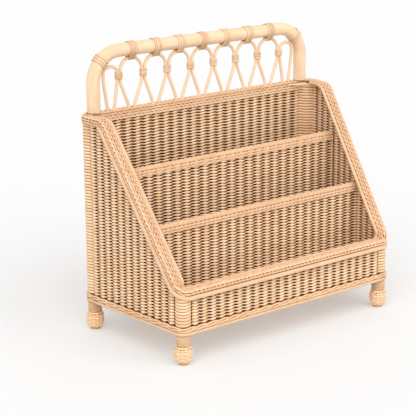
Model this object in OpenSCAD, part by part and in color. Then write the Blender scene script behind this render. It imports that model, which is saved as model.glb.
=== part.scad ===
// Wicker magazine rack: three stepped bays, plaited rims, ball feet and a pole hoop with fretwork loops.
// +X is to the right, -Y is the front, +Z is up. The origin is on the ground under the middle of the rack.

/* [Body] */
// Width of the front wall over its outer faces
front_w = 440; // [380:1:520]
// How much further out each side wall stands at the back than at the front
side_flare = 21; // [0:1:30]
// Depth of the body over the outer faces of its front and back walls
body_d = 240; // [200:1:290]
// Height of the front rim above the ground
front_h = 124; // [105:1:150]
// Height of the back border above the ground
back_h = 362; // [310:1:430]
// Level stretch of each side rim between its slope and the back
level_run = 58; // [45:1:80]
// Height of the underside of the body above the ground
base_h = 49.5; // [40:0.5:60]

/* [Woven walls] */
// Thickness of a woven wall over its weavers
wall_t = 9.2; // [8:0.1:11]
// Diameter of an upright stake
stake_d = 4.5; // [3.5:0.1:5]
// Spaces between stakes along the front wall, the back wall and each divider
gaps_across = 24; // [16:1:28]
// Spaces between stakes along each side wall
gaps_side = 13; // [9:1:16]
// Thickness of the woven floor
floor_t = 6; // [4:0.5:10]

/* [Frame] */
// Diameter of a corner post
post_d = 16; // [12:0.5:18]
// Outer radius of the weave that bends round a corner post
corner_r = 12; // [11:0.5:14]
// Diameter of the rails and bearers under the floor
base_rail_d = 10; // [8:0.5:11]
// Diameter of the rail inside a rim or a border
rim_rail_d = 6.2; // [5:0.1:6.8]
// Distance of each floor bearer from the middle of the body
bearer_x = 75; // [40:1:120]

/* [Rims] */
// Width of the plait on the front and the sides
rim_w = 17; // [15:0.5:20]
// Thickness of the plaited rim
rim_t = 9.5; // [9:0.5:12]
// Thickness of the rim at its inner edge
rim_inner_t = 9; // [8.5:0.1:11]
// How far the rim stands out over the middle of the wall
rim_out = 9.5; // [8:0.5:11]
// Bend radius of the rim at the front and back corners
rim_corner_r = 15; // [14:0.5:22]
// Bend radius where a side rim starts to slope
rim_bend_r = 24; // [22:0.5:35]
// Depth of the outer lip of the rim behind the slope
level_lip = 13; // [11:0.5:18]
// Diameter of the smooth cane under the outer edge of the rim
piping_d = 9; // [7:0.5:10]
// Diameter of the smooth cane along the inner edge of the plait
inner_piping_d = 6; // [4:0.2:7]
// Width of the plaited border on the back wall
back_border_w = 16; // [14:0.5:20]

/* [Dividers] */
// Distance of the rear divider behind the middle of the body
rear_divider_y = 35; // [25:1:50]
// Height of the rear divider's border above the ground
rear_divider_h = 283; // [240:1:300]
// Distance of the front divider behind the middle of the body
front_divider_y = -36; // [-50:1:-25]
// Height of the front divider's border above the ground
front_divider_h = 206; // [170:1:220]
// Width of the plaited border on a divider
border_w = 12.4; // [12:0.2:16]

/* [Base ring and feet] */
// Height of the roped wale round the foot of the walls
wale_h = 9; // [6:0.5:12]
// How far the wale stands out from the wall
wale_out = 2.6; // [1.5:0.1:4]
// Height of the plain cane under the wale
base_cane_h = 5; // [4:0.5:7]
// Outer diameter of the cane-bound neck of a leg
neck_d = 23.2; // [20:0.2:25]
// Diameter of a woven ball foot
ball_d = 30.4; // [27:0.2:34]
// Height of the top of a ball foot above the ground
ball_top = 31; // [28:0.5:33]
// Diameter of the sole under a ball foot
sole_d = 16; // [12:0.5:18]
// Thickness of the sole
sole_t = 4; // [3:0.5:5]

/* [Handle] */
// Diameter of the hoop's pole
pole_d = 22; // [18:0.5:25]
// Distance between the middles of the hoop's two uprights
hoop_w = 434; // [380:1:440]
// Height of the middle of the hoop's pole above the back border
hoop_rise = 95; // [88:1:120]
// Bend radius of the hoop's pole
hoop_bend_r = 50; // [40:1:60]
// Spacing of the loops along the hoop
loop_pitch = 48; // [44:0.5:50]
// Diameter of the cane of a loop
loop_d = 5.4; // [4:0.1:6]
// Distance between the two feet of a loop
foot_gap = 13; // [9:0.5:18]
// Height of the couplings above the back border
coupling_rise = 54; // [48:1:62]
// Height of a coupling
coupling_h = 12; // [8:0.5:14]
// Length of a lashing along the pole
lashing_l = 14; // [9:0.5:18]
// Thickness of the cane of a lashing or a coupling
binding_t = 2; // [1.2:0.1:2.5]
// Diameter of the pin in each end of the hoop
pin_d = 4; // [3:0.5:5]
// Depth of the pin in the pole
pin_depth = 25; // [15:1:35]

/* [Hidden] */
$fn = 48;

// Clearances
touch = 0.1;        // between pieces that rest against each other
cane_fit = 0.15;    // between a cane and what is wound round it
over = 1;           // how far a cutting tool runs past a face

// Colours of peeled cane: weavers, plaits and poles
weave_c = [0.87, 0.71, 0.53];
plait_c = [0.91, 0.77, 0.60];
pole_c = [0.89, 0.72, 0.53];

// Post centres, and the middle of a wall outside the line through them
post_y = body_d / 2 - corner_r;
post_xf = front_w / 2 - corner_r;
post_xb = post_xf + side_flare;
wall_v = corner_r - wall_t / 2;
mid_y = post_y + wall_v;
side_len = norm([side_flare, 2 * post_y]);
side_ang = atan2(side_flare, 2 * post_y);

// Levels
wale_z = base_h + base_cane_h;
wall_z = wale_z + wale_h;
cane_step = 0.4;                             // how far the base cane lies behind the face of the wale
rail_z = wale_z + base_rail_d / 4;
rail_inset = wall_t / 2 + base_rail_d / 2 + touch - wall_v;
floor_z = rail_z + base_rail_d / 2 + touch;
floor_top = floor_z + floor_t;

// Section of a rim: v is outward from the middle of the wall, w is up from the rim's top surface
skin = 2.1;                                  // plait above the rail
rail_w = -skin - rim_rail_d / 2 - touch / 2; // middle of the rail
panel_w = -skin - rim_rail_d - 2 * touch;    // top edge of the wall inside the rim
slot_v = wall_t / 2 + touch;                 // half width of the channel in the rim
piping_v = stake_d / 2 + piping_d / 2 + 0.3; // middle of the outer piping
piping_w = -rim_t - piping_d / 2 - touch;
notch_w = piping_w - piping_d / 2 - touch;   // top edge of the wall's outer layer under the piping
layer_v = piping_v - piping_d / 2 - touch;   // face between the wall's inner and outer layers
inner_drop = 0.8;                            // how far the inner cane lies below the plait's top
inner_piping_v = rim_out - rim_w - inner_piping_d / 2 - touch;
inner_piping_w = -inner_piping_d / 2 - inner_drop;
bevel = 3;                                   // broken edges of a rim

// Side rim: it slopes from the front corner up to the bend, then runs level to the back corner
corner_x = -wall_v * (1 - sin(side_ang)) / cos(side_ang);
rear_x = side_len + wall_v * (1 + sin(side_ang)) / cos(side_ang);
bend_x = rear_x - level_run;
slope = atan2(back_h - front_h, bend_x - corner_x);

// Handle
binding_r = pole_d / 2 + binding_t;
hoop_z = back_h + hoop_rise;
// The hoop's bindings stand out at the back as far as the piping does in front
hoop_y = mid_y + piping_v + piping_d / 2 - binding_r;
loop_n = 9;
coupling_z = back_h + coupling_rise;
coupling_top = coupling_z + coupling_h / 2;
loop_half = (loop_pitch - loop_d) / 2 - touch / 2;
loop_top = hoop_z - pole_d / 2 - loop_d / 2 - touch;

// The outermost loops fit between their neighbour and the hoop's bend
bend_gap = 0.5;
corner_arch = 0.75;                          // height of an outermost loop's arch over half its width
bend_inner = hoop_bend_r - pole_d / 2 - loop_d / 2 - bend_gap;
corner_level = coupling_top + 4 - hoop_z + hoop_bend_r;
corner_edge = hoop_w / 2 - hoop_bend_r + sqrt(pow(bend_inner, 2) - pow(corner_level, 2));
corner_near = (loop_n - 2) / 2 * loop_pitch + loop_pitch / 2 - loop_half;
corner_loop_half = (corner_edge - corner_near) / 2;
corner_loop_x = (corner_edge + corner_near) / 2;

function unit(a) = a / norm(a);
function mix3(a, b, s) = a * (1 - s) + b * s;

// A point of the left wall: x along the wall from the front post, v outward from its middle
function on_left(x, v, z) = [
    -post_xf - x * sin(side_ang) - (wall_v + v) * cos(side_ang),
    -post_y + x * cos(side_ang) - (wall_v + v) * sin(side_ang), z];

// Height of a line that runs w above the side rim's top, without the rounding of its bend
function side_z(x, w) = min(back_h + w, front_h + (x - corner_x) * tan(slope) + w / cos(slope));

// The same line as points (x, z) from the front to the back, with the bend rounded and the level part at lw
function side_top(w, lw) = let (t = rim_bend_r * tan(slope / 2), c = [bend_x + t, back_h - rim_bend_r])
    concat([[0, side_z(0, w)]],
        [for (i = [0 : 5]) let (g = slope * (1 - i / 5)) c + (rim_bend_r + w) * [-sin(g), cos(g)]],
        lw == w ? [] : [[c[0], back_h + lw]],
        [[side_len, back_h + lw]]);

// Rings of a sweep are [point, tangent, up]
function arc_rings(p, d1, d2, u1, u2, r, n) = let (turn = acos(d1 * d2), t = r * tan(turn / 2),
        start = p - d1 * t, side = unit(d2 - d1 * (d1 * d2)))
    [for (i = [0 : n]) let (g = turn * i / n, at = start + r * (sin(g) * d1 + (1 - cos(g)) * side))
        [at, cos(g) * d1 + sin(g) * side, mix3(u1, u2, i / n)]];

up = [0, 0, 1];
along = [-sin(side_ang), cos(side_ang), 0];
downhill = -(along * cos(slope) + up * sin(slope));
uphill_up = unit(up - downhill * (up * downhill));
front_corner = on_left(corner_x, 0, front_h);
bend_point = on_left(bend_x, 0, back_h);
rear_corner = on_left(rear_x, 0, back_h);
rear_rings = concat([[rear_corner + [rim_corner_r + 2, 0, 0], [-1, 0, 0], up]],
    arc_rings(rear_corner, [-1, 0, 0], -along, up, up, rim_corner_r, 6));
bend_rings = arc_rings(bend_point, -along, downhill, up, uphill_up, rim_bend_r, 5);
corner_rings = arc_rings(front_corner, downhill, [1, 0, 0], uphill_up, up, rim_corner_r, 8);
front_run = corner_rings[len(corner_rings) - 1][0][0];

// Place of a section point (v, w) at a ring; the section's outward side is to the left of the tangent
function at_ring(g, q) = let (t = g[1], u = unit(g[2] - t * (g[2] * t)), n = cross(u, t))
    g[0] + n * -q[0] + u * q[1];
function mirrored(rings) = [for (i = [len(rings) - 1 : -1 : 0]) let (g = rings[i])
    [[-g[0][0], g[0][1], g[0][2]], [g[1][0], -g[1][1], -g[1][2]], [-g[2][0], g[2][1], g[2][2]]]];
function round_section(v, w, d, n = 12) =
    [for (i = [0 : n - 1]) [v, w] + d / 2 * [cos(360 * i / n), sin(360 * i / n)]];

// Section of a plaited rim as an upside-down channel over the wall and the rail
function rim_section(v0, v1, inner, outer) = [
    [v0, -inner], [v0, -bevel], [v0 + bevel, 0], [v1 - bevel, 0], [v1, -bevel],
    [v1, -outer], [slot_v, -outer], [slot_v, -skin], [-slot_v, -skin], [-slot_v, -inner]];

rim_caps = [[0, 1, 8, 9], [1, 2, 8], [2, 3, 7, 8], [3, 4, 7], [4, 5, 6, 7]];

// Solid through the rings; sections[i] is the outline at ring i, and caps are convex pieces of an end
module sweep(rings, sections, caps) {
    n = len(sections[0]);
    m = len(rings);
    ends = concat([for (c = caps) [for (k = [len(c) - 1 : -1 : 0]) c[k]]],
        [for (c = caps) [for (k = c) (m - 1) * n + k]]);
    points = [for (i = [0 : m - 1]) for (q = sections[i]) at_ring(rings[i], q)];
    sides = [for (i = [0 : m - 2]) for (k = [0 : n - 1]) let (a = i * n + k, b = i * n + (k + 1) % n)
        each [[a, b, b + n], [a, b + n, a + n]]];
    polyhedron(points, concat(sides, ends), convexity = 6);
}

// Cane of diameter d through the rings, at (v, w) from them
module cane(rings, v, w, d, n = 12) sweep(rings, [for (g = rings) round_section(v, w, d, n)],
    [[for (k = [0 : n - 1]) k]]);

// Wall frames: x runs along the wall between its posts, y is outward, z is up
module at_front() translate([post_xf, -post_y, 0]) rotate(180) children();
module at_back() translate([-post_xb, post_y, 0]) children();
module at_left() translate([-post_xf, -post_y, 0]) rotate(90 + side_ang) children();
module at_right() mirror([1, 0, 0]) at_left() children();

module at_post(front, left) translate([(left ? -1 : 1) * (front ? post_xf : post_xb), 0, 0])
    translate([0, front ? -post_y : post_y, 0]) children();

// Upright plate with outline in (x, z), between two distances outward from the wall's middle
module plate(outline, v0, v1) translate([0, wall_v + v1, 0]) rotate([90, 0, 0])
    linear_extrude(v1 - v0) polygon(outline);

module post_clearances(length, z0, z1) for (x = [0, length]) translate([x, 0, z0])
    cylinder(r = corner_r + touch, h = z1 - z0);

// A frame-wide polygon that stands out by v from the wall's middle, with corners of radius r
function ring_outline(v) = let (r = wall_v + v, k = 8,
        corners = [[-post_xf, -post_y, 180 + side_ang, 270], [post_xf, -post_y, 270, 360 - side_ang],
            [post_xb, post_y, -side_ang, 90], [-post_xb, post_y, 90, 180 + side_ang]])
    [for (c = corners) for (i = [0 : k]) let (g = c[2] + (c[3] - c[2]) * i / k)
        [c[0] + r * cos(g), c[1] + r * sin(g)]];

// ---- Frame ----

module corner_post(front, left) color(pole_c) at_post(front, left) translate([0, 0, sole_t])
    cylinder(d = post_d, h = (front ? front_h - rim_t - 4 : back_h - rim_t - touch) - sole_t);

module base_rail_bar(length) translate([0, -rail_inset, rail_z]) rotate([0, 90, 0])
    cylinder(d = base_rail_d, h = length);

module base_rails() color(pole_c) difference() {
    union() {
        at_front() base_rail_bar(2 * post_xf);
        at_back() base_rail_bar(2 * post_xb);
        at_left() side_rail();
        at_right() side_rail();
    }
    for (front = [true, false], left = [true, false]) at_post(front, left)
        translate([0, 0, rail_z - base_rail_d]) cylinder(d = post_d + 2 * touch, h = 2 * base_rail_d);
}

// A side rail stops clear of the front and back rails
module side_rail() {
    e = rail_inset + base_rail_d / 2 + 1;
    translate([e, 0, 0]) base_rail_bar(side_len - 2 * e);
}

module floor_bearers() color(pole_c) for (s = [-1, 1]) {
    y = post_y - rail_inset - base_rail_d / 2 - touch;
    translate([s * bearer_x, -y, rail_z]) rotate([-90, 0, 0]) cylinder(d = base_rail_d, h = 2 * y);
}

module woven_floor() color(weave_c) difference() {
    translate([0, 0, floor_z]) linear_extrude(floor_t) polygon(ring_outline(-wall_t / 2 - touch));
    for (front = [true, false], left = [true, false]) at_post(front, left)
        translate([0, 0, floor_z - over]) cylinder(r = corner_r + touch, h = floor_t + 2 * over);
}

// ---- Base ring ----

module ring_band(v0, v1, z, h) translate([0, 0, z]) linear_extrude(h) difference() {
    polygon(ring_outline(v1));
    polygon(ring_outline(v0));
}
module base_cane() color(pole_c)
    ring_band(layer_v + touch, wall_t / 2 + wale_out - cane_step, base_h, base_cane_h - touch);
module base_wale() color(plait_c) ring_band(layer_v + touch, wall_t / 2 + wale_out, wale_z, wale_h);

// ---- Feet ----

module neck_wrap(front, left) color(pole_c) at_post(front, left) translate([0, 0, ball_top + touch])
    difference() {
        cylinder(d = neck_d, h = base_h - ball_top - 2 * touch);
        translate([0, 0, -over]) cylinder(d = post_d + 2 * cane_fit, h = base_h);
    }

module ball_foot(front, left) color(weave_c) at_post(front, left) difference() {
    translate([0, 0, (sole_t + ball_top) / 2]) sphere(d = ball_d);
    translate([0, 0, ball_top]) cylinder(d = 2 * ball_d, h = ball_d);
    translate([0, 0, sole_t - ball_d]) cylinder(d = 2 * ball_d, h = ball_d);
    cylinder(d = post_d + 2 * cane_fit, h = ball_top + over);
}

module foot_soles() color(pole_c) for (front = [true, false], left = [true, false])
    at_post(front, left) cylinder(d = sole_d, h = sole_t);

// ---- Walls ----

module stakes(gaps, length, top) for (i = [1 : gaps - 1]) let (x = length * i / gaps)
    translate([x, wall_v, base_h + 2]) cylinder(d = stake_d, h = top[i] - base_h - 2);

front_tops = [for (i = [0 : gaps_across]) front_h + panel_w - 1];
back_tops = [for (i = [0 : gaps_across]) back_h + panel_w - 1];
side_tops = [for (i = [0 : gaps_side]) side_z(side_len * i / gaps_side, panel_w - 3)];

module front_stakes() color(pole_c) at_front() stakes(gaps_across, 2 * post_xf, front_tops);
module back_stakes() color(pole_c) at_back() stakes(gaps_across, 2 * post_xb, back_tops);
module left_stakes() color(pole_c) at_left() stakes(gaps_side, side_len, side_tops);
module right_stakes() color(pole_c) at_right() stakes(gaps_side, side_len, side_tops);

module front_weave() color(weave_c) at_front() difference() {
    union() {
        plate(bar(2 * post_xf, base_h, front_h + panel_w), -wall_t / 2, layer_v);
        plate(bar(2 * post_xf, wall_z + touch, front_h + notch_w), layer_v, wall_t / 2);
    }
    post_clearances(2 * post_xf, base_h - over, front_h);
    stakes(gaps_across, 2 * post_xf, front_tops);
}

module back_weave() color(weave_c) difference() {
    at_back() union() {
        plate(bar(2 * post_xb, base_h, back_h + panel_w), -wall_t / 2, layer_v);
        plate(bar(2 * post_xb, wall_z + touch, back_h + panel_w), layer_v, wall_t / 2);
    }
    at_back() post_clearances(2 * post_xb, base_h - over, back_h);
    at_back() stakes(gaps_across, 2 * post_xb, back_tops);
    pins();
}

module side_weave() difference() {
    union() {
        plate(side_outline(base_h, panel_w, panel_w), -wall_t / 2, layer_v);
        plate(side_outline(wall_z + touch, notch_w, -level_lip - touch), layer_v, wall_t / 2);
    }
    post_clearances(side_len, base_h - over, back_h);
    stakes(gaps_side, side_len, side_tops);
}
module left_weave() color(weave_c) at_left() side_weave();
module right_weave() color(weave_c) at_right() side_weave();

function bar(length, z0, z1) = [[0, z0], [length, z0], [length, z1], [0, z1]];
function side_outline(z0, w, lw) = concat([[side_len, z0], [0, z0]], side_top(w, lw));

module corner_weave(front, left) color(weave_c) at_post(front, left) {
    top = front ? front_h + notch_w - 4 : back_h - level_lip - touch;
    translate([0, 0, wall_z + touch]) difference() {
        cylinder(r = corner_r, h = top - wall_z - touch);
        translate([0, 0, -over]) cylinder(d = post_d + 2 * cane_fit, h = top);
    }
}

// ---- Dividers ----

// Half the clear width between the side walls at a distance y behind the middle
function half_clear(y) = post_xf + (y + post_y) * tan(side_ang) + (wall_v - wall_t / 2) / cos(side_ang);

module divider_weave(y, h) color(weave_c) {
    hx = half_clear(y - wall_t / 2) - touch;
    z0 = floor_top + touch;
    difference() {
        translate([-hx, y - wall_t / 2, z0]) cube([2 * hx, wall_t, h + panel_w - z0]);
        divider_stakes(y, h);
    }
}

module divider_stakes(y, h) color(pole_c) {
    length = 2 * half_clear(y);
    for (i = [1 : gaps_across - 1]) translate([length * (i / gaps_across - 0.5), y, floor_top + touch])
        cylinder(d = stake_d, h = h + panel_w - 1 - floor_top - touch);
}

module divider_rail(y, h) {
    hx = half_clear(y - wall_t / 2) - touch;
    translate([-hx, y, h + rail_w]) rotate([0, 90, 0]) cylinder(d = rim_rail_d, h = 2 * hx);
}
module divider_rails() color(pole_c) {
    divider_rail(rear_divider_y, rear_divider_h);
    divider_rail(front_divider_y, front_divider_h);
}

// Straight length of rim along X, with its outward side towards +Y
module rim_bar(x0, x1, section) translate([x0, 0, 0]) rotate([90, 0, 90]) linear_extrude(x1 - x0)
    polygon(section);

module divider_border(y, h) color(plait_c) {
    hx = half_clear(y - border_w / 2) - touch;
    translate([0, y, h]) rim_bar(-hx, hx, rim_section(-border_w / 2, border_w / 2, rim_t, rim_t));
}

// ---- Rims ----

rim_v0 = rim_out - rim_w;
slope_section = rim_section(rim_v0, rim_out, rim_inner_t, rim_t);
level_section = rim_section(rim_v0, rim_out, rim_inner_t, level_lip);
rim_rings = concat(rear_rings, bend_rings, corner_rings);
rim_sections = [for (i = [0 : len(rim_rings) - 1]) i <= len(rear_rings) ? level_section : slope_section];

module rim_left() color(plait_c) sweep(rim_rings, rim_sections, rim_caps);
module rim_right() color(plait_c) mirror([1, 0, 0]) sweep(rim_rings, rim_sections, rim_caps);
module rim_front() color(plait_c) translate([0, -mid_y, front_h]) mirror([0, 1, 0])
    rim_bar(front_run, -front_run, slope_section);

module rim_rail() color(pole_c) {
    left = concat([[on_left(side_len - 2, 0, back_h), -along, up]], bend_rings, corner_rings);
    cane(concat(left, mirrored(left)), 0, rail_w, rim_rail_d);
}

module outer_piping() color(pole_c) {
    left = concat([for (i = [1 : len(bend_rings) - 1]) bend_rings[i]], corner_rings);
    cane(concat(left, mirrored(left)), piping_v, piping_w, piping_d);
}

module inner_piping() color(pole_c) {
    left = concat([[on_left(side_len - corner_r, 0, back_h), -along, up]], bend_rings, corner_rings);
    cane(concat(left, mirrored(left)), inner_piping_v, inner_piping_w, inner_piping_d);
}

module back_rail() color(pole_c) difference() {
    hx = post_xb - 4;
    translate([-hx, mid_y, back_h + rail_w]) rotate([0, 90, 0]) cylinder(d = rim_rail_d, h = 2 * hx);
    pins();
}

module back_border() color(plait_c) {
    hx = -rear_rings[0][0][0] - touch;
    section = rim_section(rim_out - back_border_w, rim_out, rim_inner_t, rim_t);
    difference() {
        translate([0, mid_y, back_h]) rim_bar(-hx, hx, section);
        pins();
        for (i = [0 : loop_n - 1], s = [-1, 1]) translate([loop_x(i) + s * foot_gap / 2, hoop_y, 0])
            translate([0, 0, back_h - skin - over]) cylinder(d = loop_d + 2 * touch, h = skin + 2 * over);
    }
}

// ---- Handle ----

module handle_hoop() color(pole_c) translate([0, hoop_y, 0]) difference() {
    x = hoop_w / 2;
    rise = hoop_rise - hoop_bend_r - touch;
    union() {
        for (s = [-1, 1]) translate([s * x, 0, back_h + touch]) cylinder(d = pole_d, h = rise);
        for (s = [0, 1]) mirror([s, 0, 0]) translate([x - hoop_bend_r, 0, hoop_z - hoop_bend_r])
            rotate([90, 0, 0]) rotate_extrude(angle = 90) translate([hoop_bend_r, 0]) circle(d = pole_d);
        translate([hoop_bend_r - x, 0, hoop_z]) rotate([0, 90, 0])
            cylinder(d = pole_d, h = 2 * (x - hoop_bend_r));
    }
    translate([0, -hoop_y, 0]) pins();
}

module pins() for (s = [-1, 1]) translate([s * hoop_w / 2, hoop_y, back_h + panel_w - 8])
    cylinder(d = pin_d, h = pin_depth + 8 - panel_w);
module hoop_pins() color("silver") pins();

function lash_x(i) = (i - (loop_n - 1) / 2) * loop_pitch;
function is_end(i) = i == 0 || i == loop_n - 1;
function loop_x(i) = is_end(i) ? sign(lash_x(i)) * corner_loop_x : lash_x(i);

// Right half of a loop from its top down to its foot, as (x, z) from its centre line
function half_loop(half, top, foot) = let (z1 = coupling_z - coupling_h / 2, arch = top - coupling_top,
        lean = atan2(half - foot, z1 - back_h - 8), ease = 30)
    concat([for (i = [0 : 6]) [half * sin(90 * i / 6), coupling_top + arch * cos(90 * i / 6)]],
        [for (i = [0 : 2]) let (g = lean * i / 2) [half - ease * (1 - cos(g)), z1 - ease * sin(g)]],
        [[foot + 0.6, back_h + 6], [foot, back_h + 3], [foot, back_h - skin + touch]]);

module fret_loop(i) color(pole_c) {
    half = is_end(i) ? corner_loop_half : loop_half;
    top = is_end(i) ? coupling_top + corner_arch * half : loop_top;
    right = half_loop(half, top, foot_gap / 2);
    n = len(right);
    flat = concat([for (k = [n - 1 : -1 : 1]) [-right[k][0], right[k][1]]], right);
    pts = [for (q = flat) [q[0], 0, q[1]]];
    m = len(pts);
    rings = [for (k = [0 : m - 1]) [pts[k], k == m - 1 ? [0, 0, -1] : k == 0 ? up
        : unit(unit(pts[k + 1] - pts[k]) + unit(pts[k] - pts[k - 1])), [0, 1, 0]]];
    translate([loop_x(i), hoop_y, 0]) cane(rings, 0, 0, loop_d, 8);
}

// Binding round the straight pole and the top of a loop
module lashing() {
    slot = loop_d + 2 * cane_fit;
    low = pole_d / 2 + loop_d + 2.6;
    difference() {
        union() {
            translate([-lashing_l / 2, 0, 0]) rotate([0, 90, 0]) cylinder(r = binding_r, h = lashing_l);
            translate([-lashing_l / 2, -slot / 2 - binding_t, -low - binding_t])
                cube([lashing_l, slot + 2 * binding_t, low]);
        }
        translate([-lashing_l, 0, 0]) rotate([0, 90, 0])
            cylinder(r = pole_d / 2 + cane_fit, h = 2 * lashing_l);
        translate([-lashing_l, -slot / 2, -low]) cube([2 * lashing_l, slot, low]);
    }
}

// Binding round the middle of the hoop's bend
module bend_lashing() {
    half = lashing_l / 2 / hoop_bend_r * 180 / PI;
    translate([hoop_w / 2 - hoop_bend_r, 0, hoop_z - hoop_bend_r]) rotate([90, 0, 0]) rotate(45 - half)
        rotate_extrude(angle = 2 * half) translate([hoop_bend_r, 0]) difference() {
            circle(r = binding_r);
            circle(r = pole_d / 2 + cane_fit);
        }
}

module pole_lashings() color(plait_c) translate([0, hoop_y, 0]) {
    for (i = [1 : loop_n - 2]) translate([lash_x(i), 0, hoop_z]) lashing();
    for (s = [0, 1]) mirror([s, 0, 0]) bend_lashing();
}

module loop_couplings() color(plait_c) for (i = [1 : loop_n - 1])
    translate([(lash_x(i) + lash_x(i - 1)) / 2, hoop_y, coupling_top - coupling_h + touch]) coupling();

// Binding round the two canes of neighbouring loops
module coupling() {
    r = loop_d / 2 + cane_fit;
    c = (loop_pitch - 2 * loop_half) / 2;
    linear_extrude(coupling_h - 2 * touch) difference() {
        pair(c, r + binding_t * 0.75);
        pair(c, r);
    }
}
module pair(c, r) {
    for (s = [-1, 1]) translate([s * c, 0]) circle(r = r);
    translate([-c, -r]) square([2 * c, 2 * r]);
}

corner_post(true, true);  // corner_post_front_left
corner_post(true, false);  // corner_post_front_right
corner_post(false, true);  // corner_post_rear_left
corner_post(false, false);  // corner_post_rear_right
neck_wrap(true, true);  // neck_wrap_front_left
neck_wrap(true, false);  // neck_wrap_front_right
neck_wrap(false, true);  // neck_wrap_rear_left
neck_wrap(false, false);  // neck_wrap_rear_right
ball_foot(true, true);  // ball_foot_front_left
ball_foot(true, false);  // ball_foot_front_right
ball_foot(false, true);  // ball_foot_rear_left
ball_foot(false, false);  // ball_foot_rear_right
foot_soles();
base_rails();
floor_bearers();
woven_floor();
base_cane();
base_wale();
front_stakes();
back_stakes();
left_stakes();
right_stakes();
divider_stakes(rear_divider_y, rear_divider_h);  // rear_divider_stakes
divider_stakes(front_divider_y, front_divider_h);  // front_divider_stakes
front_weave();
back_weave();
left_weave();
right_weave();
divider_weave(rear_divider_y, rear_divider_h);  // rear_divider_weave
divider_weave(front_divider_y, front_divider_h);  // front_divider_weave
corner_weave(true, true);  // corner_weave_front_left
corner_weave(true, false);  // corner_weave_front_right
corner_weave(false, true);  // corner_weave_rear_left
corner_weave(false, false);  // corner_weave_rear_right
rim_rail();
back_rail();
divider_rails();
rim_left();
rim_right();
rim_front();
back_border();
divider_border(rear_divider_y, rear_divider_h);  // rear_divider_border
divider_border(front_divider_y, front_divider_h);  // front_divider_border
outer_piping();
inner_piping();
handle_hoop();
hoop_pins();
fret_loop(0);  // fret_loop_1
fret_loop(1);  // fret_loop_2
fret_loop(2);  // fret_loop_3
fret_loop(3);  // fret_loop_4
fret_loop(4);  // fret_loop_5
fret_loop(5);  // fret_loop_6
fret_loop(6);  // fret_loop_7
fret_loop(7);  // fret_loop_8
fret_loop(8);  // fret_loop_9
pole_lashings();
loop_couplings();
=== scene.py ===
"""Magazine rack of peeled cane: the woven, plaited and bent canes that cover its frame."""

import logging
import math
from collections.abc import Sequence
from dataclasses import dataclass, field
from enum import Enum

import bpy
import numpy as np
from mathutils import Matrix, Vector

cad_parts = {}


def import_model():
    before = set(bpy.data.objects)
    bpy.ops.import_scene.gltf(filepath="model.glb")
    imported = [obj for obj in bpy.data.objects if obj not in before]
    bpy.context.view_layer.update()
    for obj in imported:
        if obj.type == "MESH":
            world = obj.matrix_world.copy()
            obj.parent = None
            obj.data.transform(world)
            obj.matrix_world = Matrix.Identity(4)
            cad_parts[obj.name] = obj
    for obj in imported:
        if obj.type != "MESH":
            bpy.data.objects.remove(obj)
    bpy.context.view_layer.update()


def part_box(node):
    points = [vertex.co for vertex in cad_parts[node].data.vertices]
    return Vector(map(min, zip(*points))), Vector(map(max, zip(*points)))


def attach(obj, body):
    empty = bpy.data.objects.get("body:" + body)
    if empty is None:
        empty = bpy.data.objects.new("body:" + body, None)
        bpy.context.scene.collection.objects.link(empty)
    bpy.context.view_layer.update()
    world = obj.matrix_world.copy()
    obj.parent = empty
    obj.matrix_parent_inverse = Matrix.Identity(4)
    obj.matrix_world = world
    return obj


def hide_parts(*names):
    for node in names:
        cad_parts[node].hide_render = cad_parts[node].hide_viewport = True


MM = 0.001
UP = np.array([0.0, 0.0, 1.0])
LOG = logging.getLogger("magazine_rack")
LENGTHS = {"Width", "Thickness", "Pitch", "Reach", "Rise", "Turn_Step", "Row_Step", "First_Row"}
# How far a weaver rises where it crosses its pair, in millimetres, and how much thinner it is there.
TWIST, PINCH = 0.62, 0.6


# ---- Node trees ----


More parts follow.
